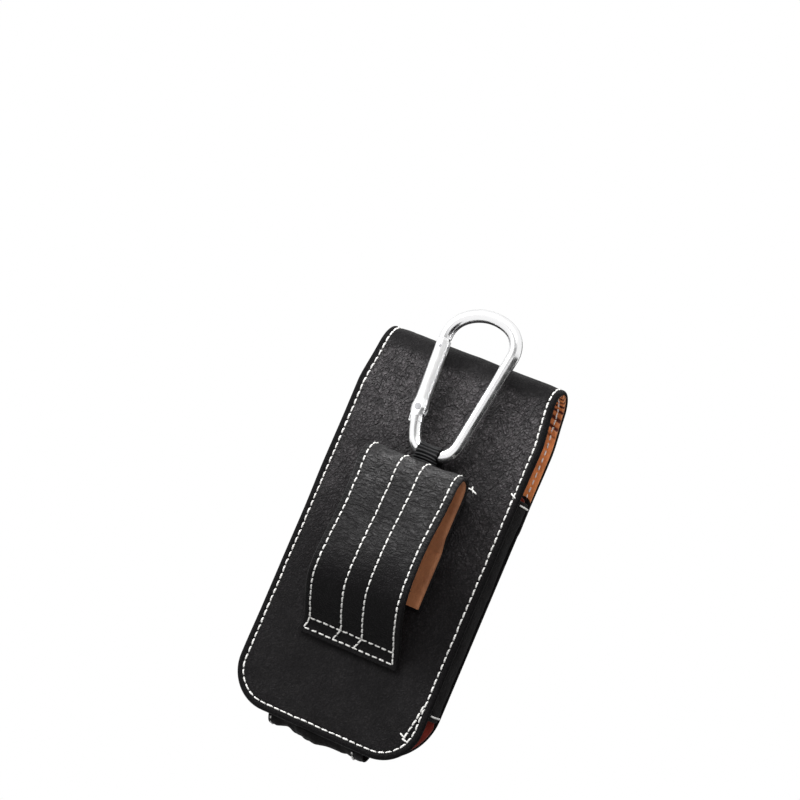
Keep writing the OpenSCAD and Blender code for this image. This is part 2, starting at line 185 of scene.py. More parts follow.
def node(tree, kind, settings=None, **sockets):
    """A new node with its settings and its sockets filled; a space in a name is written as _"""
    made = tree.nodes.new(kind)
    for key, value in (settings or {}).items():
        setattr(made, key, value)
    for key, value in sockets.items():
        name = key.replace("_", " ")
        match = [s for s in made.inputs if s.name == name and s.enabled]
        link_or_set(tree, match[0], value)
    return made


def maths(tree, operation, a, b=0.0, c=0.0, clamp=False):
    """One sum on up to three sockets or plain numbers"""
    made = tree.nodes.new("ShaderNodeMath")
    made.operation, made.use_clamp = operation, clamp
    for socket, value in zip(made.inputs, (a, b, c)):
        link_or_set(tree, socket, value)
    return made.outputs[0]


def remap(tree, value, low, high, to_low=0.0, to_high=1.0):
    """A value between low and high spread smoothly over another range"""
    made = node(tree, "ShaderNodeMapRange", {"clamp": True, "interpolation_type": "SMOOTHSTEP"},
                Value=value, From_Min=low, From_Max=high, To_Min=to_low, To_Max=to_high)
    return made.outputs[0]


def blend_colour(tree, factor, a, b):
    made = tree.nodes.new("ShaderNodeMix")
    made.data_type = "RGBA"
    for socket, value in zip([made.inputs[0]] + [s for s in made.inputs if s.type == "RGBA"],
                             (factor, a, b)):
        link_or_set(tree, socket, value)
    return [s for s in made.outputs if s.type == "RGBA"][0]


def scaled(tree, coords, scale, turn=0.0, stretch=(1, 1, 1)):
    return node(tree, "ShaderNodeMapping", Vector=coords, Rotation=(0, 0, turn),
                Scale=tuple(scale * s for s in stretch)).outputs[0]


def new_finish(name):
    finish = bpy.data.materials.new(name)
    finish.use_nodes = True
    tree = finish.node_tree
    return finish, tree, tree.nodes["Principled BSDF"]


def noise_field(tree, coords, scale, detail=2.0, rough=0.5, **more):
    return node(tree, "ShaderNodeTexNoise", Vector=coords, Scale=scale, Detail=detail, Roughness=rough,
                **more).outputs[0]


def pattern_coords(tree, flat):
    """The flat pattern of a sheet, or the object's own metres brought to the same scale"""
    where = node(tree, "ShaderNodeTexCoord").outputs["UV" if flat else "Object"]
    return where if flat else scaled(tree, where, 10.0)


def stored(tree, key):
    """A number kept on the points of the mesh"""
    return node(tree, "ShaderNodeAttribute", {"attribute_name": key}).outputs["Fac"]


def bumped(tree, height, distance):
    """The surface's direction after a relief of the given depth in metres"""
    return node(tree, "ShaderNodeBump", Strength=1.0, Distance=distance, Height=height).outputs[0]


# %% [markdown]
# ## Black leather
# The grain is a field of rounded cells under two millimetres across, a finer field over it, and
# creases of two sizes through both. Where the hide was worked the cells stand proud, and each
# catches a glint on the side that faces the lamp; elsewhere it lies smooth and nearly black.
# A mark stored on the mesh and a mask from slow noise decide where. The tops of the cells are
# also painted paler, partly as wear and partly as painted highlight, and painted shade keeps the
# creases dark, which makes the leather look dry.

# %% Leather finish
BLACK = (0.005, 0.0047, 0.005)


def ridge(tree, coords, scale, width, detail=2.0):
    """1 along the wandering lines where a noise crosses its middle, 0 away from them"""
    value = noise_field(tree, coords, scale, detail, Distortion=0.3)
    away = maths(tree, "ABSOLUTE", maths(tree, "SUBTRACT", value, 0.5))
    return remap(tree, away, 0.0, width, 1.0, 0.0)


def leather(name, cells, relief, flat=True, worn_and_highlight=(0.05, 0.046, 0.045), crumple=None,
            run=(1.0, 1.0, 1.0), turn=0.0, rough=(0.36, 0.5), mirror=0.2):
    """crumple sets how raised the grain is and how pale its tops are painted, partly wear and partly
    highlight, everywhere; without it the mark on the mesh sets this
    """
    finish, tree, shader = new_finish(name)
    where = pattern_coords(tree, flat)
    wander = node(tree, "ShaderNodeTexNoise", Vector=where, Scale=26.0, Detail=2.0).outputs["Color"]
    bend = node(tree, "ShaderNodeVectorMath", {"operation": "MULTIPLY_ADD"})
    tree.links.new(wander, bend.inputs[0])
    bend.inputs[1].default_value = (0.03, 0.03, 0.03)
    tree.links.new(where, bend.inputs[2])
    bent = bend.outputs[0]
    lay = scaled(tree, bent, 1.0, turn, run)
    pebble = node(tree, "ShaderNodeTexVoronoi", {"feature": "SMOOTH_F1"}, Vector=lay, Scale=cells,
                  Smoothness=0.35, Randomness=1.0).outputs["Distance"]
    fine = node(tree, "ShaderNodeTexVoronoi", {"feature": "F1"}, Vector=bent, Scale=cells * 2.1,
                Randomness=1.0).outputs["Distance"]
    grit = noise_field(tree, where, cells * 5, 3.0, 0.6)
    slow = noise_field(tree, where, 6.0, 3.0, 0.6)
    worked_and_lit = stored(tree, "worked_and_lit") if crumple is None else crumple
    amount = maths(tree, "MULTIPLY", worked_and_lit, remap(tree, slow, 0.34, 0.6, 0.55, 1.0))
    tops = remap(tree, pebble, 0.62, 0.1)
    crumbs = remap(tree, fine, 0.62, 0.12)
    long_folds = ridge(tree, lay, 14.0, 0.035, 3.0)
    short_folds = ridge(tree, scaled(tree, bent, 1.0, turn + 0.4, run), 33.0, 0.045)
    folds = maths(tree, "MAXIMUM", long_folds, maths(tree, "MULTIPLY", short_folds, 0.7))

    height = maths(tree, "MULTIPLY", tops, maths(tree, "MULTIPLY_ADD", amount, 0.82, 0.12))
    height = maths(tree, "MULTIPLY_ADD", crumbs, maths(tree, "MULTIPLY_ADD", amount, 0.1, 0.3), height)
    height = maths(tree, "MULTIPLY_ADD", grit, 0.2, height)
    height = maths(tree, "MULTIPLY_ADD", maths(tree, "MULTIPLY", folds, amount), -0.85, height)
    tree.links.new(bumped(tree, height, relief), shader.inputs["Normal"])

    # Painted highlight and painted shade: the cell tops are painted paler, partly as wear and partly as the
    # glints they would catch, and the creases are painted darker.
    patchy_tops = maths(tree, "MULTIPLY", tops, remap(tree, grit, 0.3, 0.6, 0.4, 1.0))
    rub_and_highlight = maths(tree, "MULTIPLY", maths(tree, "MULTIPLY_ADD", patchy_tops, 0.62, 0.16), amount)
    rub_and_highlight = maths(tree, "MULTIPLY", rub_and_highlight, maths(tree, "MULTIPLY_ADD", folds, -0.6, 1.0), clamp=True)
    # Painted highlight: small pale specks where the fine grain would glint.
    glint_specks = maths(tree, "MULTIPLY", crumbs, remap(tree, grit, 0.42, 0.62))
    rub_and_highlight = maths(tree, "MULTIPLY_ADD", glint_specks, 0.13, rub_and_highlight)
    tree.links.new(blend_colour(tree, rub_and_highlight, (*BLACK, 1), (*worn_and_highlight, 1)), shader.inputs["Base Color"])

    dull = remap(tree, maths(tree, "MULTIPLY_ADD", folds, 0.3, grit), 0.3, 0.9, *rough)
    tree.links.new(dull, shader.inputs["Roughness"])
    shine = maths(tree, "MULTIPLY", maths(tree, "MULTIPLY_ADD", amount, 0.82, 0.18), mirror)
    tree.links.new(shine, shader.inputs["Specular IOR Level"])
    shader.inputs["Sheen Weight"].default_value = 0.02
    shader.inputs["Sheen Roughness"].default_value = 0.5
    return finish


hide_leather = leather("black_hide", 92.0, 0.00038, worn_and_highlight=(0.069, 0.0615, 0.0655),
                       run=(1.0, 0.72, 1.0), turn=0.5)
loop_finish = leather("loop_hide", 72.0, 0.0004, flat=False, worn_and_highlight=(0.058, 0.056, 0.057),
                      run=(0.34, 1.0, 1.0))
gusset_finish = leather("gusset_hide", 80.0, 0.00018, crumple=0.3, rough=(0.5, 0.62), mirror=0.1)
print("black leather ready")

# %% [markdown]
# ## Lining
# The lining is thin split leather dyed tan, and dark red in the front half. It has a short
# smooth face with cloudy colour, and painted shade darkens it inside its folds.

# %% Lining finish
def split(name, pale, deep_tone_and_shade, flat=True):
    finish, tree, shader = new_finish(name)
    where = pattern_coords(tree, flat)
    cloud = noise_field(tree, where, 9.0, 4.0, 0.6)
    grain = node(tree, "ShaderNodeTexVoronoi", {"feature": "SMOOTH_F1"}, Vector=where, Scale=115.0,
                 Smoothness=0.4).outputs["Distance"]
    grit = noise_field(tree, where, 300.0, 4.0, 0.7)
    between = tuple(0.62 * p + 0.38 * d for p, d in zip(pale, deep_tone_and_shade))
    colour = blend_colour(tree, remap(tree, cloud, 0.35, 0.65), (*pale, 1), (*between, 1))
    # Painted shade: the stored fold mark turns the colour to the deep tone inside the lining's folds.
    colour = blend_colour(tree, remap(tree, stored(tree, "fold"), 0.08, 0.75), colour, (*deep_tone_and_shade, 1))
    tree.links.new(colour, shader.inputs["Base Color"])
    tree.links.new(remap(tree, grit, 0.3, 0.7, 0.42, 0.62), shader.inputs["Roughness"])
    shader.inputs["Sheen Weight"].default_value = 0.1
    height = maths(tree, "MULTIPLY_ADD", grit, 0.4, maths(tree, "MULTIPLY", grain, -1.0))
    tree.links.new(bumped(tree, height, 0.00011), shader.inputs["Normal"])
    return finish


tan_finish = split("tan_lining", (0.95, 0.34, 0.115), (0.08, 0.012, 0.005))
red_finish = split("red_lining", (0.26, 0.03, 0.018), (0.03, 0.005, 0.004))
loop_tan = split("loop_lining", (0.42, 0.17, 0.075), (0.12, 0.035, 0.014), flat=False)

# %% [markdown]
# ## Thread, webbing and metal
# Thread is matt and a little fuzzy. The webbing is black synthetic tape with a faint shine on
# its ribs. The rod is polished aluminium: low roughness, with hair scratches that follow the
# polishing and a few dull patches from handling. The gate is duller, like brushed metal.

# %% Small finishes
def plain(name, colour, rough, metallic=0.0, grain=900.0, relief=0.00003, vary=0.12, sheen=0.0):
    finish, tree, shader = new_finish(name)
    where = node(tree, "ShaderNodeTexCoord").outputs["Object"]
    grit = noise_field(tree, where, grain, 4.0, 0.6)
    dark = tuple(c * (1 - 2 * vary) for c in colour)
    tree.links.new(blend_colour(tree, remap(tree, grit, 0.3, 0.65), (*dark, 1), (*colour, 1)),
                   shader.inputs["Base Color"])
    tree.links.new(remap(tree, grit, 0.3, 0.7, rough + 0.06, rough - 0.06), shader.inputs["Roughness"])
    shader.inputs["Metallic"].default_value = metallic
    shader.inputs["Sheen Weight"].default_value = sheen
    tree.links.new(bumped(tree, grit, relief), shader.inputs["Normal"])
    return finish


def polished(name, colour, rough, stretch):
    finish, tree, shader = new_finish(name)
    where = node(tree, "ShaderNodeTexCoord").outputs["Object"]
    hair = noise_field(tree, scaled(tree, where, 1.0, 0.0, stretch), 900.0, 3.0)
    patch = noise_field(tree, where, 160.0, 4.0, 0.6)
    shader.inputs["Base Color"].default_value = (*colour, 1)
    shader.inputs["Metallic"].default_value = 1.0
    tree.links.new(remap(tree, patch, 0.4, 0.75, rough, rough + 0.1), shader.inputs["Roughness"])
    tree.links.new(bumped(tree, hair, 0.0000015), shader.inputs["Normal"])
    return finish


thread_finish = plain("thread", (0.93, 0.92, 0.89), 0.7, grain=2600.0, relief=0.00005, vary=0.05, sheen=0.2)
tape_finish = plain("black_tape", (0.003, 0.003, 0.0035), 0.6, grain=2400.0, relief=0.00004, vary=0.25)
rib_finish = plain("black_ribs", (0.011, 0.011, 0.012), 0.55, grain=1500.0, relief=0.00006, vary=0.3)
for dull, level in ((tape_finish, 0.1), (rib_finish, 0.28)):
    dull.node_tree.nodes["Principled BSDF"].inputs["Specular IOR Level"].default_value = level
rod_finish = polished("polished_rod", (0.96, 0.96, 0.965), 0.2, (1, 1, 0.08))
gate_finish = polished("satin_gate", (0.96, 0.96, 0.96), 0.34, (1, 1, 0.15))
# The pins are darker steel, partly their own colour and partly painted shade for the gaps round the rivet.
pin_finish = polished("pins", (0.5, 0.5, 0.52), 0.26, (1, 1, 1))
board_finish = plain("board", (0.32, 0.28, 0.22), 0.85, grain=600.0)
magnet_finish = plain("magnet", (0.45, 0.45, 0.47), 0.35, metallic=1.0, grain=500.0)
print("finishes:", len(bpy.data.materials))

# %% [markdown]
# ## The hide: back panel, fold and flap in one piece
# One hide runs up the back, over the fold and down the front. Its pattern is flat: x across
# and s along. Round corners end both tips, and it narrows a little over the fold. A function
# gives the distance from any point to the edge of the pattern, and the seam, the rolled rim
# and the pillowed middle all follow from that distance.

# %% The hide's flat pattern
ARC = math.pi * FOLD_R
HIDE_L = FOLD_Z + ARC + (FOLD_Z - FLAP_LOW)
NECK_IN, NECK_R, NECK_Z, NECK_LONG = 2.6, 140.0, 172.0, 29.0
FLAP_IN, BLEND = 0.5, 0.45


def along_section(s):
    """Place and outward direction, in the (y, z) section, at length s from the bottom edge"""
    s = np.asarray(s, float)
    turn = np.clip((s - FOLD_Z) / FOLD_R, 0, math.pi)
    y = FOLD_R - FOLD_R * np.cos(turn)
    z = np.where(s < FOLD_Z, s,
                 np.where(s < FOLD_Z + ARC, FOLD_Z + FOLD_R * np.sin(turn), FOLD_Z - (s - FOLD_Z - ARC)))
    return y, z, -np.cos(turn), np.sin(turn)


def half_width(s):
    """Half the hide's width: it narrows towards the fold, and the flap is a little narrower"""
    z = along_section(s)[1]
    cut = PANEL_W / 2 - NECK_IN + NECK_R - np.sqrt(NECK_R ** 2 - np.clip(NECK_Z - z, 0, NECK_LONG) ** 2)
    full = PANEL_W / 2 - FLAP_IN * step(s, FOLD_Z, FOLD_Z + ARC)
    return full - BLEND * np.logaddexp(0, (full - cut) / BLEND)


def taken_off(k, r):
    """How much a round corner takes off the width, k millimetres past the start of its curve"""
    return r - np.sqrt(np.maximum(r ** 2 - k ** 2, 0))


def corner_cut(s, inset=0.0):
    """What the hide's round corners take off its half width, inset millimetres inside the edge"""
    r = CORNER - inset
    return taken_off(np.clip(CORNER - np.minimum(s, HIDE_L - s), 0, r), r)


def to_edge(x, s, length, half, corner=CORNER):
    """Distance inward from the pattern's edge, with round corners at both tips"""
    qx, qs = np.abs(x) - (half - corner), np.maximum(corner - s, s - (length - corner))
    return corner - (np.hypot(np.maximum(qx, 0), np.maximum(qs, 0)) + np.minimum(np.maximum(qx, qs), 0))


# %% [markdown]
# ## The seam
# A seam is a row of holes at an even pitch, three millimetres inside the edge. Each stitch
# spans two holes and sinks into them, and the leather is pulled down round every hole. The
# holes are laid out once here, and both the puckers and the thread are made from them.

# %% Seam holes
def walk_line(points, pitch, closed=True):
    """Holes at an even pitch along a line of flat points"""
    points = np.asarray(points, float)
    if closed:
        points = np.concatenate([points, points[:1]])
    run = np.concatenate([[0], np.cumsum(np.hypot(*np.diff(points, axis=0).T))])
    count = max(1, int(round(run[-1] / pitch)))
    at = np.linspace(0, run[-1], count + 1)
    return np.stack([np.interp(at, run, points[:, 0]), np.interp(at, run, points[:, 1])], -1)


def hide_outline(inset):
    """A line inside the edge of the hide, once round"""
    half_end = PANEL_W / 2 - FLAP_IN
    r = CORNER - inset
    q = np.radians(np.linspace(-90, 0, 16))
    low = np.stack([PANEL_W / 2 - CORNER + r * np.cos(q), CORNER + r * np.sin(q)], -1)
    s = np.linspace(CORNER, HIDE_L - CORNER, 240)[1:-1]
    side = np.stack([half_width(s) - inset, s], -1)
    high = np.stack([half_end - CORNER + r * np.cos(q[::-1]), HIDE_L - CORNER - r * np.sin(q[::-1])], -1)
    right = np.concatenate([low, side, high])
    left = right[::-1] * [-1, 1]
    return np.concatenate([right, left])


hide_holes = walk_line(hide_outline(SEAM_IN), PITCH)
wobble = np.random.default_rng(5).normal(0, 0.07, hide_holes.shape)
hide_holes = hide_holes + wobble
print("holes in the hide's seam:", len(hide_holes))


def puckers(x, s, holes, d):
    """The pull of the thread: a soft pit round every hole, looked for only in a band on the seam"""
    tree = kdtree.KDTree(len(holes))
    for i, (a, b) in enumerate(holes):
        tree.insert((a, b, 0), i)
    tree.balance()
    away = np.full(x.shape, 9.0)
    for i, j in zip(*np.nonzero((d > SEAM_BAND[0]) & (d < SEAM_BAND[1]))):
        away[i, j] = tree.find((x[i, j], s[i, j], 0))[2]
    return np.exp(-(away / PIT) ** 2)


# %% [markdown]
# ## Raising the hide
# The outer face sits at nought. A rolled rim, the seam's groove, puckers and creases are
# heights added to it. The creases are strongest on the upper half of the back, where the hide
# was left soft; the lower half is pressed flat and only the grain shows.

# %% The hide
def hide_heights(x, s):
    """The outer face of the hide, and the distance of every point from its edge"""
    d = to_edge(x, s, HIDE_L, half_width(s))
    roll = ROLL_DEEP * (1 - quarter_round(d, ROLL_WIDE))
    groove = 0.2 * np.exp(-((d - SEAM_IN) / 0.65) ** 2)
    pillow = 0.22 * step(d, SEAM_IN, SEAM_IN + 6) + 0.1 * np.exp(-((d - 1.6) / 0.7) ** 2)
    soft = step(s, 70, 112) * (1 - 0.75 * step(s, 158, 168)) + 0.35 * step(s, 195, 215)
    waves = 0.16 * noise(x / 17, s / 13, 3, 2) + soft * 0.14 * noise(x / 6.5 + 2, s / 4.4, 8, 2)
    lines = soft * 0.3 * creases(x / 15 + s / 40, s / 9 - x / 22, 12)
    lines = lines + soft * 0.2 * creases(x / 7 - s / 30, s / 6.5 + x / 15, 21, 0.1)
    inner = step(d, 2.6, 6)
    return -roll - groove + pillow + inner * (waves - lines), d


s_rows = rim_steps(HIDE_L, 1, 0.95)
half = half_width(s_rows) - corner_cut(s_rows)
t_cols = rim_steps(PANEL_W, 1, 1.15) / (PANEL_W / 2) - 1
x = half[:, None] * t_cols[None, :]
s = np.repeat(s_rows[:, None], len(t_cols), 1)
high, d = hide_heights(x, s)
pits = puckers(x, s, hide_holes, d)
high = high - 0.26 * pits
turned = 1 - step(s, FOLD_Z + 4, FOLD_Z + 20)
shows = step(np.abs(s - 72), 49, 53)
low = -LEATHER - (0.72 + 0.6 * shows) * (1 - step(d, 1.9, 2.4)) * turned
rim_low = ROLL_DEEP * (1 - quarter_round(d, ROLL_WIDE))
low = low + rim_low * ((0.95 + 0.5 * shows) * turned + 0.2 * (1 - turned))
high = np.maximum(high, low + 0.1)
y, z, ny, nz = along_section(s)
x = x + 0.22 * noise(s / 21, np.sign(x), 40) * np.abs(t_cols)[None, :] ** 6
middle = np.stack([x, y, z], -1)
normal = np.stack([0 * ny, ny, nz], -1)
# The mark below sets how raised the grain is and how pale its tops are painted, partly wear and partly
# painted highlight. It grows towards the top of the back, which paints the upper panel lighter as if more
# light fell there, and it falls away over the fold, which is left smooth and nearly black.
worked_and_lit = (0.2 + 0.64 * step(s, 70, 104) + 1.1 * step(s, 112, 146)) * (1 - 0.93 * step(s, 156.5, 164))
worked_and_lit = worked_and_lit + 0.6 * step(s, 188, 202)
hide = sheet("hide", middle, normal, high, low, (x, s), hide_leather,
             {"worked_and_lit": (worked_and_lit * step(d, 1.5, 4.5), 0.2 * worked_and_lit), "fold": (pits, 0 * pits)})
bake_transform(hide)
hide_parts("back_leather", "flap_leather")
print("hide:", len(hide.data.vertices), "points")

# %% [markdown]
# ## The lining of the hide
# The lining lies inside the turned edge. It is longer than the way round the inside of the
# fold, so it gathers there in short folds like a closed fan. Over the back board it stands a
# little proud, as cloth does over card.

# %% The tan lining
INSET, INSET_FLAP, TUCK = 2.05, 0.7, 3.4


def lining_heights(x, s, d):
    """The lower face of the lining, and how much shade is painted into its folds"""
    fan = step(s, FOLD_Z - 6, FOLD_Z + 3) * (1 - step(s, FOLD_Z + ARC + 4, FOLD_Z + ARC + 14))
    tuck = np.abs(np.cos(math.pi * (s + 1.2 * noise(x / 9, s / 12, 50, 2)) / TUCK)) ** 0.7
    gather = fan * tuck * (0.8 + 0.4 * noise(x / 14, s / 5, 51))
    pad = LINING * step(d, 7.2, 9.4) * (1 - step(s, FOLD_Z - 10, FOLD_Z - 5))
    loose = 0.1 * noise(x / 12, s / 9, 52, 2) + 0.07 * creases(x / 10, s / 14, 53)
    height = -LEATHER - LINING - pad - 1.75 * gather - np.maximum(loose, -0.12) * step(d, 3, 6)
    shade = fan * (1 - step(tuck, 0.3, 1.0)) * (0.3 + 0.7 * step(np.abs(x), 22, 36))
    return height, shade


t_cols = rim_steps(PANEL_W - 2 * INSET, 2, 1.3) / (PANEL_W / 2 - INSET) - 1
s_rows = INSET + rim_steps(HIDE_L - INSET - INSET_FLAP, 2, 0.62)
inset = INSET + (INSET_FLAP - INSET) * step(s_rows, FOLD_Z + 4, FOLD_Z + 20)
half = half_width(s_rows) - inset - corner_cut(s_rows, inset)
x = half[:, None] * t_cols[None, :]
s = np.repeat(s_rows[:, None], len(t_cols), 1)
d = to_edge(x, s, HIDE_L, half_width(s))
low, shade = lining_heights(x, s, d)
low = low + 0.2 * np.exp(-((d - SEAM_IN) / 0.6) ** 2)
high = np.full(x.shape, -LEATHER - 0.02)
y, z, ny, nz = along_section(s)
# The fold mark below carries the painted shade of the gathers to the finish.
lining = sheet("tan_lining", np.stack([x, y, z], -1), np.stack([0 * ny, ny, nz], -1), high, low,
               (x, s), tan_finish, {"fold": (0 * d, shade)})
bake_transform(lining)
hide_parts("back_lining", "flap_lining")

# %% [markdown]
# ## The front panel
# The front half of the pouch has rounder lower corners and stops short, with a dip in its top
# edge for the thumb. Its leather turns over the edge in the same way, and its lining is dark
# red.

# %% Front panel and its lining
TOP_DIP, TOP_R = 4.0, 200.0


def front_top(x):
    """The top edge of the front panel, which dips in the middle"""
    return FRONT_H - TOP_DIP + TOP_R - np.sqrt(TOP_R ** 2 - np.asarray(x) ** 2)


def front_grid(inset, skip, coarse_x, coarse_s):
    """Points of the front panel, and how far each is from its edge"""
    t = rim_steps(PANEL_W - 2 * inset, skip, coarse_x) / (PANEL_W / 2 - inset) - 1
    v = inset + rim_steps(FRONT_H - 2 * inset, skip, coarse_s)
    low_r, top_r = FRONT_CORNER - inset, TOP_CORNER - inset
    cut = taken_off(np.clip(FRONT_CORNER - v, 0, low_r), low_r)
    cut = cut + taken_off(np.clip(v - (FRONT_H - TOP_CORNER), 0, top_r), top_r)
    x = (PANEL_W / 2 - inset - cut)[:, None] * t[None, :]
    v = np.repeat(v[:, None], len(t), 1)
    z = inset + (v - inset) * (front_top(x) - 2 * inset) / (FRONT_H - 2 * inset)
    d_low = to_edge(x, z, 400, PANEL_W / 2, FRONT_CORNER)
    d = np.minimum(d_low, front_top(x) - z)
    corner_x, corner_z = np.abs(x) - (PANEL_W / 2 - TOP_CORNER), z - (front_top(x) - TOP_CORNER)
    d_corner = np.minimum(d, TOP_CORNER - np.hypot(corner_x, corner_z))
    d = np.where((corner_x > 0) & (corner_z > 0), d_corner, d)
    return x, z, np.maximum(d, 0)


def front_line(inset):
    """A line inside the edge of the front panel, up both sides and along the top"""
    q = np.radians(np.linspace(-90, 0, 16))
    r = FRONT_CORNER - inset
    low = np.stack([PANEL_W / 2 - FRONT_CORNER + r * np.cos(q), FRONT_CORNER + r * np.sin(q)], -1)
    up_side = np.linspace(FRONT_CORNER + 2, FRONT_H - TOP_CORNER, 40)
    side = np.array([[PANEL_W / 2 - inset, v] for v in up_side])
    top_x = np.linspace(PANEL_W / 2 - TOP_CORNER, 0, 20)
    top = np.stack([top_x, front_top(top_x) - inset], -1)
    right = np.concatenate([low, side, top])
    return np.concatenate([right, right[::-1][1:] * [-1, 1]])


def upright(x, z):
    """Points of a flat upright sheet at the front of the pouch, and the direction out of it"""
    return np.stack([x, 0 * x + POUCH_T, z], -1), np.stack([0 * x, 0 * x + 1, 0 * x], -1)


front_holes = walk_line(front_line(SEAM_IN), PITCH)
x, z, d = front_grid(0.0, 1, 1.3, 1.3)
roll = ROLL_DEEP * (1 - quarter_round(d, ROLL_WIDE))
pits = puckers(x, z, front_holes, d)
high = -roll - 0.2 * np.exp(-((d - SEAM_IN) / 0.65) ** 2) + 0.18 * step(d, 3, 9) - 0.24 * pits
high = np.minimum(high + step(d, 3, 6) * 0.12 * noise(x / 17, z / 15, 61, 2), 0.3)
low = -LEATHER + 0.2 * roll
high = np.maximum(high, low + 0.1)
front = sheet("front_panel", *upright(x, z), high, low, (x, z + 40), hide_leather,
              {"worked_and_lit": (0.35 * step(d, 1.5, 4.5), 0.2 + 0 * d)})
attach(front, "holster")
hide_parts("front_leather")
x, z, d = front_grid(INSET_FLAP, 2, 1.6, 1.5)
x = x * (1 - 0.04 * step(z, 20, 26))
pad = LINING * step(d, 7.2, 9.4) * (1 - step(z, 116.4, 119))
low = -LEATHER - LINING - pad - 0.06 * noise(x / 12, z / 9, 62, 2)
high = np.full(x.shape, -LEATHER - 0.02)
front_in = sheet("red_lining", *upright(x, z), high, low, (x, z), red_finish,
                 {"fold": (0 * d, 0 * d)})
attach(front_in, "holster")
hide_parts("front_lining")
print("front panel:", len(front.data.vertices), "points")

# %% [markdown]
# ## Gussets
# The sides are closed by strips of soft leather folded into a channel. Each has a hem at both
# ends, where the leather is turned back on itself and is nearly twice as thick. The strip under
# the pouch is the same channel laid flat, and it bellies out and ripples between its hems.

# %% Gusset strips
MID = POUCH_T / 2
FLANGE, END_ROUND, THIN, HEM = 6.0, 0.6, 1.1, 0.9
GUS_X, GUS_LOW, GUS_HIGH = PANEL_W / 2 - 1 - FLANGE, 23.2, 120.8
GUS_L = GUS_HIGH - GUS_LOW
GUS_HEMS = (2.2, GUS_L - 2.0)
STRIP_W, BELLY = 45.0, 4.3
STRIP_HEMS = (1.3, STRIP_W / 2 - 2.6, STRIP_W - 4.6)


def channel(name, length, bow, hems, ripple, spot, seed):
    """A strip folded into a channel, bowed out between its flanges and hemmed at the given places.
    spot turns distances out, in depth and along into bench points, and a direction with them"""
    half_depth = (POUCH_T - 2 * (LEATHER + LINING)) / 2
    r = (half_depth ** 2 + bow ** 2) / (2 * bow)
    reach = math.asin(min(1, half_depth / r))
    arc_len = 2 * reach * r
    total = 2 * FLANGE + arc_len
    u = np.linspace(0, total, 64)
    w = np.concatenate([[0, 0.1, 0.3, 0.6], np.linspace(1.0, length - 1.0, int(length / 0.9)),
                        [length - 0.6, length - 0.3, length - 0.1, length]])
    u, w = np.meshgrid(u, w)
    before, after = u < FLANGE, u > FLANGE + arc_len
    turn = np.clip((u - FLANGE) / r, 0, 2 * reach) - reach
    out = np.where(before, u, np.where(after, total - u, FLANGE + bow - r + r * np.cos(turn)))
    depth = np.where(before, -half_depth, np.where(after, half_depth, r * np.sin(turn)))
    face_out = np.where(before | after, 0, np.cos(turn))
    face_depth = np.where(before, -1.0, np.where(after, 1.0, np.sin(turn)))
    web = step(u, FLANGE - 1, FLANGE + 2) * (1 - step(u, total - FLANGE - 2, total - FLANGE + 1))
    hem = np.zeros(w.shape)
    for centre in hems:
        hem = np.maximum(hem, 1 - step(np.abs(w - centre), 2.6, 3.5))
    ripples = ripple * noise(w / 7.5, u / 9, seed, 2)
    lift = web * (ripples + 0.3 * hem - 0.2 * creases(w / 5, u / 16, seed + 1, 0.16))
    full = quarter_round(np.minimum(w, length - w), END_ROUND)
    high = lift * full - 0.5 * (1 - full)
    high = high - web * 0.25 * sum(np.exp(-((w - centre) / 0.5) ** 2) for centre in hems)
    low = -THIN - HEM * hem * web + lift * 0.6 + 0.5 * (1 - full)
    points, normals = spot(out, depth, w, face_out, face_depth)
    made = sheet(name, points, normals, np.maximum(high, low + 0.1), low, (u, w), gusset_finish)
    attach(made, "holster")
    return made


for side, name in ((1, "gusset_right"), (-1, "gusset_left")):
    def on_side(out, depth, w, face_out, face_depth, side=side):
        points = np.stack([side * (GUS_X + out), MID + depth, GUS_LOW + w], -1)
        return points, np.stack([side * face_out, face_depth, 0 * w], -1)
    made = channel(name, GUS_L, 1.3, GUS_HEMS, 0.3, on_side, 70 + side)
    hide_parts(name)


def below(out, depth, w, face_out, face_depth):
    points = np.stack([w - STRIP_W / 2, MID + depth, FLANGE + 1 - out], -1)
    return points, np.stack([0 * w, face_depth, -face_out], -1)


bottom = channel("gusset_bottom", STRIP_W, BELLY, STRIP_HEMS, 0.95, below, 90)
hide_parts("gusset_bottom")

# %% [markdown]
# ## The belt loop
# The loop is one strap, swept along its path by a small node tree: a rounded rectangle is
# carried along the curve, then every point is pushed in or out by a rule. Near each row of
# thread it sinks, and fine creases run across the strap. A rule suits this part, because the
# strap has the same section everywhere and only its path is special.

# %% The loop's path
LOOP_TOP, LOOP_FOOT, LOOP_R, LEG_Y = 119.5, 36.5, 7.7, -2.9
STRAP, STRAP_IN = 1.6, 1.0


def through(points, n):
    """A smooth curve through points, with n steps from each to the next"""
    p = np.asarray(points, float)
    out = []
    for i in range(len(p) - 1):
        a, b, c, d = p[max(i - 1, 0)], p[i], p[i + 1], p[min(i + 2, len(p) - 1)]
        slope, bend, twist = c - a, 2 * a - 5 * b + 4 * c - d, 3 * b - a - 3 * c + d
        out += [0.5 * (2 * b + slope * t + bend * t * t + twist * t ** 3) for t in np.arange(n) / n]
    return out + [p[-1]]


def arc_points(centre, r, start, end, n):
    """Points on a round bend, from one angle in degrees to another"""
    turns = np.radians(np.linspace(start, end, n + 1))
    return [np.array([centre[0] + r * math.cos(q), centre[1] + r * math.sin(q)]) for q in turns]


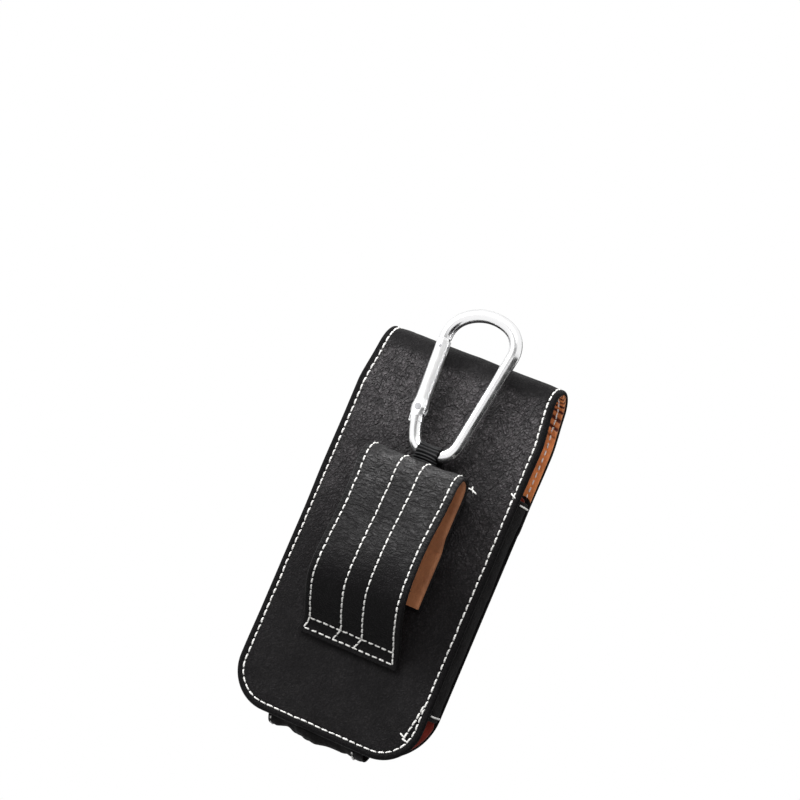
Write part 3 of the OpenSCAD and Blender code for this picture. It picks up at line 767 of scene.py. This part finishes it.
cy, cz = LEG_Y - LOOP_R, LOOP_TOP - LOOP_R
back_leg = [np.array([0, 62.5]), np.array([0, 86.5])]
step_out = through([[0, 88.5], [LEG_Y / 2, 91.5], [LEG_Y, 94.5]], 4)
over_top = arc_points((cy, cz), LOOP_R, 0, 180, 24)
front_leg = through([[cy - LOOP_R, cz - 2], [cy - LOOP_R - 0.1, 103], [-20.3, 90], [-21.7, 78],
                     [-21.6, 68], [-20.2, 61.5], [-17.2, 56.5], [-13.2, 51.9], [-8.6, 47.6],
                     [-4.4, 43.9], [-STRAP - STRAP_IN, 40.4]], 5)
foot = [np.array([-STRAP - STRAP_IN, LOOP_FOOT])]
loop_path = np.array(back_leg + step_out + over_top + front_leg + foot)


def evenly(path, pitch):
    """The same path in even steps, and the length up to each point"""
    run = np.concatenate([[0], np.cumsum(np.hypot(*np.diff(path, axis=0).T))])
    at = np.linspace(0, run[-1], max(2, int(run[-1] / pitch)) + 1)
    return np.stack([np.interp(at, run, path[:, 0]), np.interp(at, run, path[:, 1])], -1), at


def path_normals(path):
    """The direction across the path and the one along it, at every point"""
    along = np.gradient(path, axis=0)
    along = along / np.linalg.norm(along, axis=1)[:, None]
    return np.stack([-along[:, 1], along[:, 0]], -1), along


# %% [markdown]
# ## Node trees for curves and repeats
# A node tree is a recipe with named inputs. The first recipe below sweeps a strap; the others
# put a copy of a small shape on every marked point, turned to follow two stored directions.
# After a recipe has run its result is kept as a plain mesh, and the object it ran on is gone.

# %% Recipe helpers
def recipe(name, inputs):
    tree = bpy.data.node_groups.new(name, "GeometryNodeTree")
    tree.interface.new_socket("Geometry", in_out="INPUT", socket_type="NodeSocketGeometry")
    for label, kind, value in inputs:
        made = tree.interface.new_socket(label, in_out="INPUT", socket_type=kind)
        if value is not None:
            made.default_value = value
    tree.interface.new_socket("Geometry", in_out="OUTPUT", socket_type="NodeSocketGeometry")
    return tree, tree.nodes.new("NodeGroupInput"), tree.nodes.new("NodeGroupOutput")


def run_recipe(name, start, tree, values, material):
    """Runs a tree on an object's data and keeps the result as a plain mesh"""
    values = {**values, "Material": material}
    holder = bpy.data.objects.new(name + "_start", start)
    bpy.context.scene.collection.objects.link(holder)
    modifier = holder.modifiers.new("recipe", "NODES")
    modifier.node_group = tree
    for item in tree.interface.items_tree:
        if item.item_type == "SOCKET" and item.in_out == "INPUT" and item.name in values:
            modifier[item.identifier] = values[item.name]
    graph = bpy.context.evaluated_depsgraph_get()
    mesh = bpy.data.meshes.new_from_object(holder.evaluated_get(graph), preserve_all_data_layers=True,
                                           depsgraph=graph)
    mesh.name = name
    bpy.data.objects.remove(holder)
    return make_object(name, mesh, material)


def close_recipe(tree, geometry, given, result):
    """Makes copies real, shades them smooth and gives them the material"""
    real = node(tree, "GeometryNodeRealizeInstances", Geometry=geometry)
    smooth = node(tree, "GeometryNodeSetShadeSmooth", Geometry=real.outputs[0])
    painted = node(tree, "GeometryNodeSetMaterial", Geometry=smooth.outputs[0],
                   Material=given.outputs["Material"])
    tree.links.new(painted.outputs[0], result.inputs[0])


def lay_on_marks(tree, given, shape, smallest, largest, seed, lean=None):
    """A copy of a shape on every marked point, its X along the stored line and its Z up"""
    along, up = (node(tree, "GeometryNodeInputNamedAttribute", {"data_type": "FLOAT_VECTOR"},
                      Name=key).outputs[0] for key in ("along", "up"))
    turned = node(tree, "FunctionNodeAxesToRotation", {"primary_axis": "Z", "secondary_axis": "X"},
                  Primary_Axis=up, Secondary_Axis=along)
    if lean is not None:
        turned = node(tree, "FunctionNodeRotateRotation", {"rotation_space": "LOCAL"},
                      Rotation=turned.outputs[0],
                      Rotate_By=node(tree, "FunctionNodeEulerToRotation", Euler=lean).outputs[0])
    size = node(tree, "FunctionNodeRandomValue", {"data_type": "FLOAT_VECTOR"}, Min=smallest, Max=largest,
                Seed=seed)
    points = node(tree, "GeometryNodeMeshToPoints", {"mode": "VERTICES"}, Mesh=given.outputs["Geometry"])
    return node(tree, "GeometryNodeInstanceOnPoints", Points=points.outputs[0], Instance=shape,
                Rotation=turned.outputs[0], Scale=size.outputs[0]).outputs[0]


def curve_data(name, points):
    """A line through bench points, ready for a recipe"""
    data = bpy.data.curves.new(name, "CURVE")
    data.dimensions = "3D"
    line = data.splines.new("POLY")
    line.points.add(len(points) - 1)
    for p, q in zip(line.points, place(points)):
        p.co = (*q, 1)
    return data


# %% [markdown]
# ## The strap
# A strap is a rounded section swept along a line. Its surface is then pushed in along the rows
# of stitches, and out and in by noise for wrinkles. The belt loop, its lining and the core of
# the webbing all come from this one recipe with different inputs.

# %% The strap recipe
def squeezed(tree, vector, by):
    """A vector with each part multiplied"""
    made = tree.nodes.new("ShaderNodeVectorMath")
    made.operation = "MULTIPLY"
    tree.links.new(vector, made.inputs[0])
    made.inputs[1].default_value = by
    return made.outputs[0]


strap, given, result = recipe("Sweep a strap", [
    ("Width", "NodeSocketFloat", 0.0455), ("Thickness", "NodeSocketFloat", 0.0016),
    ("Detail", "NodeSocketFloat", 0.0008), ("Outer row", "NodeSocketFloat", 0.0198),
    ("Inner row", "NodeSocketFloat", 0.0051), ("Groove", "NodeSocketFloat", 0.0002),
    ("Crease", "NodeSocketFloat", 0.00025), ("Material", "NodeSocketMaterial", None)])
box_line = node(strap, "GeometryNodeCurvePrimitiveQuadrilateral", {"mode": "RECTANGLE"},
                Width=given.outputs["Width"], Height=given.outputs["Thickness"])
rounded = node(strap, "GeometryNodeFilletCurve", {"mode": "POLY"}, Curve=box_line.outputs[0], Count=5,
               Radius=maths(strap, "MULTIPLY", given.outputs["Thickness"], 0.45))
section = node(strap, "GeometryNodeResampleCurve", {"mode": "LENGTH"}, Curve=rounded.outputs[0],
               Length=given.outputs["Detail"])
swept = node(strap, "GeometryNodeCurveToMesh", Curve=given.outputs["Geometry"],
             Profile_Curve=section.outputs[0], Fill_Caps=True)
point = node(strap, "GeometryNodeInputPosition").outputs[0]
parts = node(strap, "ShaderNodeSeparateXYZ", Vector=point)
out_x = maths(strap, "ABSOLUTE", parts.outputs["X"])


def dip(tree, value, centre, width):
    """1 at the centre, falling to 0 on both sides of it"""
    away = maths(tree, "DIVIDE", maths(tree, "SUBTRACT", value, centre), width)
    return maths(tree, "EXPONENT", maths(tree, "MULTIPLY", maths(tree, "MULTIPLY", away, away), -1.0))


rows = maths(strap, "ADD", dip(strap, out_x, given.outputs["Outer row"], 0.0006),
             dip(strap, out_x, given.outputs["Inner row"], 0.0006))
wave = noise_field(strap, squeezed(strap, point, (45, 260, 260)), 1.0, 3.0, 0.6)
slow_wave = noise_field(strap, squeezed(strap, point, (40, 70, 70)), 1.0)
push = maths(strap, "MULTIPLY", rows, maths(strap, "MULTIPLY", given.outputs["Groove"], -1.0))
push = maths(strap, "MULTIPLY_ADD", maths(strap, "SUBTRACT", wave, 0.5), given.outputs["Crease"], push)
push = maths(strap, "MULTIPLY_ADD", maths(strap, "SUBTRACT", slow_wave, 0.5),
             maths(strap, "MULTIPLY", given.outputs["Crease"], 1.6), push)
offset = node(strap, "ShaderNodeVectorMath", {"operation": "SCALE"},
              Vector=node(strap, "GeometryNodeInputNormal").outputs[0], Scale=push)
moved = node(strap, "GeometryNodeSetPosition", Geometry=swept.outputs[0], Offset=offset.outputs[0])
close_recipe(strap, moved.outputs[0], given, result)

# %% [markdown]
# ## Sweeping the loop
# The path runs along the joint between leather and lining, so each is swept half its own
# thickness away from it. The box of the result is printed in bench millimetres.

# %% The loop's leather and its lining
def as3(points):
    """Points of the (y, z) section as bench points in the middle of the pouch"""
    return np.stack([np.zeros(len(points)), points[:, 0], points[:, 1]], -1)


path = evenly(loop_path, 0.8)[0]
across = path_normals(path)[0]
outer = path + across * (STRAP / 2)
inner = path + across * (STRAP + STRAP_IN / 2)
loop = run_recipe("belt_loop", curve_data("loop_line", as3(outer)), strap,
                  {"Width": 0.0455, "Thickness": 0.0016, "Detail": 0.0007}, loop_finish)
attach(loop, "holster")
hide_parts("loop_leather")
loop_in = run_recipe("belt_loop_lining", curve_data("loop_in_line", as3(inner[1:-1])), strap,
                     {"Width": 0.0441, "Thickness": 0.001, "Detail": 0.0012, "Groove": 0.0,
                      "Crease": 0.0001}, loop_tan)
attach(loop_in, "holster")
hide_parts("loop_lining")
corners = np.array(loop.bound_box) * 1000 + SLOT
print("belt loop box on the bench:", corners.min(0).round(1), corners.max(0).round(1))

# %% [markdown]
# ## The sewing recipe
# One stitch is a short twisted thread: an oval section swept along a line that bows up in the
# middle and dips at both ends. The recipe lays a copy on every marked point, turns it along
# the seam, and varies its length and lean a little, as a sewing machine on thick leather does.
# About three quarters of the way between two holes shows; the rest has sunk into the leather.

# %% Sewing
def bowed_line(tree, start, end, count):
    """A short line of points, with how far each is from its middle and the square of that"""
    line = node(tree, "GeometryNodeCurvePrimitiveLine", {"mode": "POINTS"}, Start=start, End=end)
    line = node(tree, "GeometryNodeResampleCurve", {"mode": "COUNT"}, Curve=line.outputs[0], Count=count)
    share = node(tree, "GeometryNodeSplineParameter").outputs["Factor"]
    centred = maths(tree, "MULTIPLY_ADD", share, 2.0, -1.0)
    return line.outputs[0], share, centred, maths(tree, "MULTIPLY", centred, centred)


sewing, given, result = recipe("Sew", [
    ("Length", "NodeSocketFloat", 0.0026), ("Thread", "NodeSocketFloat", 0.00027),
    ("Rise", "NodeSocketFloat", 0.0003), ("Twist", "NodeSocketFloat", 9.0),
    ("Seed", "NodeSocketInt", 1), ("Material", "NodeSocketMaterial", None)])
line, share, centred, square = bowed_line(sewing, (-0.5, 0, 0), (0.5, 0, 0), 9)
fourth = maths(sewing, "MULTIPLY", square, square)
lift = maths(sewing, "SUBTRACT", 0.35, maths(sewing, "MULTIPLY", fourth, 1.35))
lift = maths(sewing, "MULTIPLY", lift, given.outputs["Rise"])
reach = maths(sewing, "MULTIPLY", centred, maths(sewing, "MULTIPLY", given.outputs["Length"], 0.5))
bowed = node(sewing, "GeometryNodeSetPosition", Geometry=line,
             Position=node(sewing, "ShaderNodeCombineXYZ", X=reach, Z=lift).outputs[0])
tilted = node(sewing, "GeometryNodeSetCurveTilt", Curve=bowed.outputs[0],
              Tilt=maths(sewing, "MULTIPLY", share, given.outputs["Twist"]))
ring = node(sewing, "GeometryNodeCurvePrimitiveCircle", {"mode": "RADIUS"}, Resolution=8,
            Radius=given.outputs["Thread"])
oval = node(sewing, "GeometryNodeTransform", Geometry=ring.outputs[0], Scale=(1.12, 0.8, 1.0))
stitch = node(sewing, "GeometryNodeCurveToMesh", Curve=tilted.outputs[0], Profile_Curve=oval.outputs[0],
              Fill_Caps=True)
lean = node(sewing, "FunctionNodeRandomValue", {"data_type": "FLOAT_VECTOR"}, Min=(-0.12, -0.05, -0.07),
            Max=(0.12, 0.05, 0.07), Seed=given.outputs["Seed"])
sewn = lay_on_marks(sewing, given, stitch.outputs[0], (0.9, 0.88, 0.85), (1.05, 1.1, 1.15),
                    maths(sewing, "ADD", given.outputs["Seed"], 7.0), lean.outputs[0])
close_recipe(sewing, sewn, given, result)


SHOWN, RISE = 0.73, 0.42


def marked_points(name, at, along, up):
    """Points that carry the two directions which a copy follows"""
    mesh = bpy.data.meshes.new(name)
    mesh.from_pydata(place(at).tolist(), [], [])
    for key, value in (("along", along), ("up", up)):
        attribute = mesh.attributes.new(key, "FLOAT_VECTOR", "POINT")
        attribute.data.foreach_set("vector", np.asarray(value, np.float32).ravel())
    return mesh


def pairs_of(holes):
    """Each hole with the next one: the two ends of a stitch"""
    return np.stack([holes[:-1], holes[1:]], 1)


def sew(name, pairs, ups, seed, thread=0.38):
    """pairs holds the two holes of each stitch, on the bench, and ups the way out of the leather"""
    gap = pairs[:, 1] - pairs[:, 0]
    length = np.linalg.norm(gap, axis=1)
    marks = marked_points(name + "_marks", pairs.mean(1), gap / length[:, None], ups)
    return run_recipe(name, marks, sewing,
                      {"Length": float(np.median(length)) * SHOWN / 1000, "Thread": thread / 1000,
                       "Rise": RISE / 1000, "Seed": seed}, thread_finish)


# %% [markdown]
# ## Sewing the hide
# Each pair of holes becomes a stitch on the outer face. A lockstitch shows on both sides, so
# where the inside can be seen a second one lies on the lining. Those past the fold bend with
# the flap like the hide. A short second row at a lower corner and a few loose ends are where
# the thread was fastened off.

# %% Thread on the hide
def on_hide(x, s, height):
    """Bench points at a height over the hide, and the way out of it there"""
    y, z, ny, nz = along_section(s)
    return np.stack([x, y + ny * height, z + nz * height], -1), np.stack([0 * x, ny, nz], -1)


def hide_stitches(height):
    """Both ends of every stitch of the hide's seam"""
    ends = [on_hide(holes[:, 0], holes[:, 1], height)[0] for holes in (hide_holes[:-1], hide_holes[1:])]
    return np.stack(ends, 1)


mid_x, mid_s = ((hide_holes[:-1] + hide_holes[1:]) / 2).T
seam_top = hide_heights(mid_x, mid_s)[0] + 0.1
seam_up = on_hide(mid_x, mid_s, seam_top)[1]
second_row = walk_line([(39.9, 28.3), (38.8, 20.2), (37.2, 12.6)], PITCH, closed=False)
loose_ends = np.array([[(20.9, 117.4), (22.9, 117.2)], [(22.9, 117.2), (25.0, 116.3)],
                       [(22.4, 118.5), (23.5, 116.2)], [(39.2, 121.8), (41.0, 120.7)],
                       [(35.4, 14.1), (36.9, 13.5)], [(36.7, 12.6), (38.8, 12.0)]])
extra = np.concatenate([pairs_of(second_row), loose_ends])
extra_top = hide_heights(extra[..., 0], extra[..., 1])[0] + 0.32
extra_ends, extra_up = on_hide(extra[..., 0], extra[..., 1], extra_top)
seam_out = sew("hide_seam", np.concatenate([hide_stitches(seam_top), extra_ends]),
               np.concatenate([seam_up, extra_up[:, 0]]), seed=3)
seam_low = lining_heights(mid_x, mid_s, 0 * mid_x + SEAM_IN)[0] + 0.32
seen = mid_s > 118
seam_in = sew("hide_seam_inside", hide_stitches(seam_low)[seen], -seam_up[seen], seed=4)
for made in (seam_out, seam_in):
    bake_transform(made)
print("stitches on the hide:", len(mid_s) + len(extra) + int(seen.sum()))

# %% [markdown]
# ## Sewing the front panel and the gussets
# The front panel has a row all round its edge. Each gusset is hemmed at both ends with a
# single row across, and the bottom strip has one more in its middle.

# %% Thread on the front panel and the gussets
def straight(p, q, pitch):
    """Holes from p to q"""
    p, q = np.asarray(p, float), np.asarray(q, float)
    n = max(1, int(round(np.linalg.norm(q - p) / pitch)))
    return p + (q - p) * np.linspace(0, 1, n + 1)[:, None]


on_front, out_of_front = upright(front_holes[:, 0], front_holes[:, 1])
on_front[:, 1] -= 0.05
runs, ups = [pairs_of(on_front)], [out_of_front[1:]]
HEM_X = 43.95
for side in (1, -1):
    for hem in GUS_HEMS:
        z = GUS_LOW + hem
        line = straight((side * HEM_X, MID - 5.2, z), (side * HEM_X, MID + 5.2, z), 2.6)
        line[:, 0] = side * (HEM_X - 0.016 * (line[:, 1] - MID) ** 2)
        runs.append(pairs_of(line))
        ups.append(np.tile([side, 0, 0], (len(line) - 1, 1)))
for hem in STRIP_HEMS:
    x = hem - STRIP_W / 2
    line = straight((x, MID - 5.4, 0), (x, MID + 5.4, 0), 2.2)
    line[:, 2] = 0.75 - BELLY + 0.115 * (line[:, 1] - MID) ** 2
    runs.append(pairs_of(line))
    ups.append(np.tile([0, 0, -1.0], (len(line) - 1, 1)))
body_seams = sew("body_seams", np.concatenate(runs), np.concatenate(ups), seed=9)
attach(body_seams, "holster")

# %% [markdown]
# ## Sewing the belt loop
# First the strap settles into the shape it has taken in wear, and a mark on its points says how
# creased it is there and how pale its grain is painted: lighter towards the top as painted light,
# nearly black below as painted shade. Four rows of stitches run the length of it. At the bottom it
# is sewn down with two rows across and short slanting ends, which make a narrow box.

# %% Thread on the loop
fine_path, fine_at = evenly(loop_path, 0.5)
fine_across = path_normals(fine_path)[0]
run_total = fine_at[-1]
ABOVE, LOOP_PITCH = 0.02, 3.1


def reshape(obj, rule):
    """Moves an object's points by a rule and gives back where they were, all on the bench"""
    numbers = np.zeros(len(obj.data.vertices) * 3, np.float32)
    obj.data.vertices.foreach_get("co", numbers)
    before = numbers.reshape(-1, 3) * 1000.0 + SLOT
    obj.data.vertices.foreach_set("co", place(rule(before)).astype(np.float32).ravel())
    obj.data.update()
    return before


def settled(points):
    """How worn leather hangs: the belt tips the strap and draws it in, and its top is arched"""
    points = np.array(points, float)
    x, y, z = (points[..., k].copy() for k in range(3))
    tip = np.interp(z, [58, 65, 75, 85, 92, 100, 112], [0, 0.7, 1.9, 2.9, 2.8, 1.8, 0.2]) * step(-y, 5, 12)
    foot = 0.045 * (1 - step(z, 36.5, 41.5)) * step(-y, 0.5, 1.5) * step(np.abs(x), 12, 22)
    arch = 1.0 - 0.65 * (1 - step(np.abs(x), 12, 17)) - 0.35 * step(-x, 12, 22)
    points[..., 0] = x * (1 - 0.0087 * tip) * (1 + foot)
    points[..., 1] = y - 0.55 * tip * x / 20
    points[..., 2] = z + step(z, 100, 118) * arch
    return points


for made in (loop, loop_in):
    x, y, z = reshape(made, settled).T
    # The mark grows from the foot to the top of the loop: the grain stands higher and is painted paler
    # towards the top as painted light, and the lower part, which turns away from the light, is left nearly
    # black as painted shade.
    soft = 0.62 * step(z, 60, 88) + 1.05 * step(z, 92, 114)
    soft = 0.05 + soft * (1 - 0.5 * step(np.abs(x), 19, 21.5))
    made.data.attributes.new("worked_and_lit", "FLOAT", "POINT").data.foreach_set("value", soft.astype(np.float32))
    made.data.update()


def on_loop(x, run):
    """Points just over the strap's outer face, run millimetres up from its sewn lower edge"""
    at = run_total - run
    y, z = (np.interp(at, fine_at, fine_path[:, k]) for k in (0, 1))
    up_y, up_z = (-np.interp(at, fine_at, fine_across[:, k]) for k in (0, 1))
    points = np.stack([x, y + up_y * ABOVE, z + up_z * ABOVE], -1)
    return settled(points), np.stack([0 * at, up_y, up_z], -1)


def loop_row(points):
    """Stitches through flat points (x, run) on the strap"""
    holes = walk_line(points, LOOP_PITCH, closed=False)
    holes = holes + np.random.default_rng(len(holes)).normal(0, 0.05, holes.shape)
    at, up = on_loop(holes[:, 0], holes[:, 1])
    return pairs_of(at), (up[:-1] + up[1:]) / 2


low_row, high_row, full = 2.0, 6.9, run_total - 36
lines = [[(-19.8, high_row), (-19.8, full)], [(-5.0, high_row), (-5.2, full)],
         [(5.0, high_row), (5.2, full)], [(19.8, high_row), (19.8, full)],
         [(-20.6, low_row), (20.6, low_row)], [(-19.8, high_row), (20.2, high_row)],
         [(-20.6, low_row), (-19.8, high_row)], [(-7.4, low_row), (-5.0, high_row)],
         [(2.6, low_row), (5.0, high_row)], [(20.6, low_row), (20.0, high_row)]]
runs, ups = zip(*[loop_row(line) for line in lines])
loop_seams = sew("loop_seams", np.concatenate(runs), np.concatenate(ups), thread=0.36, seed=12)
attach(loop_seams, "holster")
print("stitches on the loop:", sum(len(r) for r in runs))

# %% [markdown]
# ## Ribbed webbing
# The tape that holds the carabiner is woven with a rib across it every millimetre and a quarter.
# The tape itself is swept with the strap recipe, and the ribs are copies of one bowed bar laid
# along the path with the same kind of marks as the stitches.

# %% Webbing
TAPE, TAPE_X, TAPE_FOOT, RIB_PITCH = 1.4, 1.3, 96.5, 1.25
EYE_Z, EYE_Y, EYE_R = LOOP_TOP + 4.5, -5.45, 2.95
LIE_R = LOOP_R + TAPE + 0.15
lie_end = math.degrees(math.acos((-TAPE - 0.02 - cy) / LIE_R))
rise = through([[-TAPE, EYE_Z - 11], [-TAPE - 0.1, EYE_Z - 6], [EYE_Y + EYE_R, EYE_Z - 0.8]], 4)
eye = arc_points((EYE_Y, EYE_Z), EYE_R, 0, 196, 24)
lie = arc_points((cy, cz), LIE_R, 66, lie_end, 14)
start, end = np.array([-TAPE, TAPE_FOOT]), np.array([-TAPE - 0.02, TAPE_FOOT])
web_path = np.array([start] + rise + eye + lie + [end])


def saddle(points):
    """The eye's two edges lifted off the rod, which bends upward there"""
    x, y, z = points.T
    dy, dz = y - EYE_Y, z - EYE_Z
    angle = np.degrees(np.arctan2(dz, dy)) % 360
    share = step(angle, 12, 60) * (1 - step(angle, 196, 238)) * (angle < 300)
    lift = 0.72 * np.abs((x - TAPE_X) / 5.75) ** 2.2 * share
    reach = np.maximum(np.hypot(dy, dz), 0.1)
    return np.stack([x + (TAPE_X - x) * 0.11 * share, y + dy / reach * lift, z + dz / reach * lift], -1)


path = evenly(web_path, 0.6)[0]
core = as3(path - path_normals(path)[0] * 0.3)
core[:, 0] = TAPE_X
tape = run_recipe("webbing_core", curve_data("tape_line", core), strap,
                  {"Width": 0.0110, "Thickness": 0.0005, "Detail": 0.0006, "Groove": 0.0,
                   "Crease": 0.00005}, tape_finish)
ribs, given, result = recipe("Lay ribs", [
    ("Half width", "NodeSocketFloat", 0.0057), ("Thick", "NodeSocketFloat", 0.00044),
    ("Bow", "NodeSocketFloat", 0.0003), ("Seed", "NodeSocketInt", 1),
    ("Material", "NodeSocketMaterial", None)])
line, _, centred, square = bowed_line(ribs, (0, -1, 0), (0, 1, 0), 13)
bend = maths(ribs, "MULTIPLY", square, given.outputs["Bow"])
reach = maths(ribs, "MULTIPLY", centred, given.outputs["Half width"])
bowed = node(ribs, "GeometryNodeSetPosition", Geometry=line,
             Position=node(ribs, "ShaderNodeCombineXYZ", X=bend, Y=reach).outputs[0])
near_end = maths(ribs, "POWER", maths(ribs, "ABSOLUTE", centred), 10.0)
round_end = maths(ribs, "SQRT", maths(ribs, "SUBTRACT", 1.02, near_end))
ring = node(ribs, "GeometryNodeCurvePrimitiveCircle", {"mode": "RADIUS"}, Resolution=10,
            Radius=given.outputs["Thick"])
bar = node(ribs, "GeometryNodeCurveToMesh", Curve=bowed.outputs[0], Profile_Curve=ring.outputs[0],
           Scale=round_end, Fill_Caps=True)
laid = lay_on_marks(ribs, given, bar.outputs[0], (0.97, 0.98, 0.85), (1.05, 1.02, 1.0),
                    given.outputs["Seed"])
close_recipe(ribs, laid, given, result)
path = evenly(web_path, RIB_PITCH)[0]
path_across, path_along = path_normals(path)
spots = as3(path - path_across * 0.58)
spots[:, 0] = TAPE_X
keep = path[:, 1] > LOOP_TOP - 9
marks = marked_points("rib_marks", spots[keep], as3(path_along)[keep], as3(path_across)[keep])
rib_mesh = run_recipe("webbing_ribs", marks, ribs, {"Seed": 5}, rib_finish)
for made in (tape, rib_mesh):
    reshape(made, saddle)
    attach(made, "holster")
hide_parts("webbing_loop")
print("ribs:", len(spots[keep]))

# %% [markdown]
# ## Hard parts keep their shape
# The carabiner's rod, gate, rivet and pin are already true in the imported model, so they only
# get a finish. The boards and magnets are inside the leather and stay plain.

# %% Finish of the hard parts
hard_parts = (("carabiner_frame", rod_finish, "polished_rod"), ("gate_tube", gate_finish, "polished_rod"),
              ("gate_rivet", pin_finish, "pins"), ("latch_pin", pin_finish, "pins"),
              ("gate_spring", pin_finish, "pins"), ("gate_plunger", pin_finish, "pins"),
              ("back_board", board_finish, "board"), ("front_board", board_finish, "board"),
              ("front_magnet", magnet_finish, "magnet"), ("flap_magnet", magnet_finish, "magnet"))
for name, finish, slot_name in hard_parts:
    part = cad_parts[name]
    part.data.materials.clear()
    part.data.materials.append(finish)

# %% [markdown]
# ## Light
# The picture is a product shot on white. A wide soft lamp above and to the left gives the
# leather its sheen and the rod its bright stripe. A small one overhead lifts the upper panel
# and the loop, and weaker ones fill from the right and from behind. Polished metal only shows
# what stands round it, so a dark card on the right draws the dark half of the long rod, a grey
# one in front draws the soft band on the gate, and one behind gives the bow its thin outline.
# The camera sees the world as pure white, while everything else is lit by it less.

# %% Lamps, cards and white
def aim_at(obj, target):
    direction = Vector(target) - obj.location
    obj.rotation_euler = direction.to_track_quat("-Z", "Y").to_euler()


def lamp(name, spot, target, size, watts):
    """A soft oblong lamp at a spot, turned to its target"""
    data = bpy.data.lights.new(name, "AREA")
    data.shape, data.size, data.size_y, data.energy = "RECTANGLE", size[0], size[1], watts
    obj = bpy.data.objects.new(name, data)
    bpy.context.scene.collection.objects.link(obj)
    obj.location = spot
    aim_at(obj, target)
    return obj


lamp("key", (-0.70, -0.56, 0.46), (0, 0, 0.02), (0.5, 0.6), 10.5)
fill = lamp("fill", (0.62, -0.72, 0.2), (0, 0, 0.02), (0.3, 0.6), 2.2)
fill.visible_glossy = False
lamp("top", (-0.02, -0.27, 0.4), (0, 0, 0.05), (0.2, 0.2), 1.8)
back_light = lamp("back", (0.2, 0.8, 0.5), (0, 0, 0.02), (0.8, 0.6), 4.0)
back_light.visible_glossy = False
dark_card = plain("dark_card", (0.004, 0.004, 0.004), 1.0)
grey_card = plain("grey_card", (0.1, 0.1, 0.1), 1.0)
glow = grey_card.node_tree.nodes["Principled BSDF"].inputs
# The grey card glows faintly of itself, so that the gate shows it as a soft band in reflection.
glow["Emission Color"].default_value, glow["Emission Strength"].default_value = (0.16, 0.16, 0.16, 1), 1.0


def card(name, finish, places, low, high):
    """An upright card through the given (x, y) places that only mirrors show"""
    mesh = bpy.data.meshes.new(name)
    points = [(x, y, z) for x, y in places for z in (low, high)]
    mesh.from_pydata(points, [], [(2 * i, 2 * i + 2, 2 * i + 3, 2 * i + 1) for i in range(len(places) - 1)])
    made = make_object(name, mesh, finish)
    made.visible_camera = made.visible_diffuse = made.visible_shadow = made.visible_transmission = False


def around(low, high):
    """Places on a circle round the object, from one direction to another"""
    return [(0.8 * math.sin(q), -0.8 * math.cos(q)) for q in np.radians(np.linspace(low, high, 12))]


card("side_card", dark_card, around(33, 126), -0.7, 0.115)
card("gate_card", grey_card, around(-14, 34), 0.13, 0.4)
card("back_card", dark_card, [(-0.5, 0.75), (0.5, 0.75)], -0.5, 0.5)
world = bpy.data.worlds.new("white")
bpy.context.scene.world = world
world.use_nodes = True
tree = world.node_tree
background = tree.nodes["Background"]
path_kind = node(tree, "ShaderNodeLightPath").outputs
background.inputs["Color"].default_value = (1, 1, 1, 1)
level = maths(tree, "MULTIPLY_ADD", path_kind["Is Glossy Ray"], 0.6, 0.34)
tree.links.new(maths(tree, "MAXIMUM", path_kind["Is Camera Ray"], level), background.inputs["Strength"])
bpy.context.scene.view_settings.view_transform = "Standard"

# %% [markdown]
# ## The camera
# The picture was taken from 1.3 metres away, a touch below the middle of the pouch and from its
# right, and the camera was rolled so that the pouch leans. The same numbers are used here,
# found by fitting the outline.

# %% Camera
az, el, roll, far = math.radians(21.02), math.radians(-3.72), math.radians(23.05), 1.3039
aim = Vector(place((-22.14, 0.0, 140.79)))
right = Vector((math.cos(az), math.sin(az), 0))
back = Vector((math.sin(az) * math.cos(el), -math.cos(az) * math.cos(el), math.sin(el)))
over = back.cross(right)
picture_right = right * math.cos(roll) + over * math.sin(roll)
picture_up = over * math.cos(roll) - right * math.sin(roll)
camera = bpy.data.objects.new("camera", bpy.data.cameras.new("camera"))
bpy.context.scene.collection.objects.link(camera)
turn = Matrix((picture_right, picture_up, back)).transposed().to_4x4()
camera.matrix_world = Matrix.Translation(aim + back * far) @ turn
SENSOR, FOCAL_DOTS, PICTURE_DOTS = 36.0, 3128.9, 800.0
camera.data.sensor_width = SENSOR
camera.data.lens = FOCAL_DOTS * SENSOR / PICTURE_DOTS
camera.data.clip_start, camera.data.clip_end = 0.05, 20.0
bpy.context.scene.camera = camera
print("camera at", [round(c, 3) for c in camera.location])
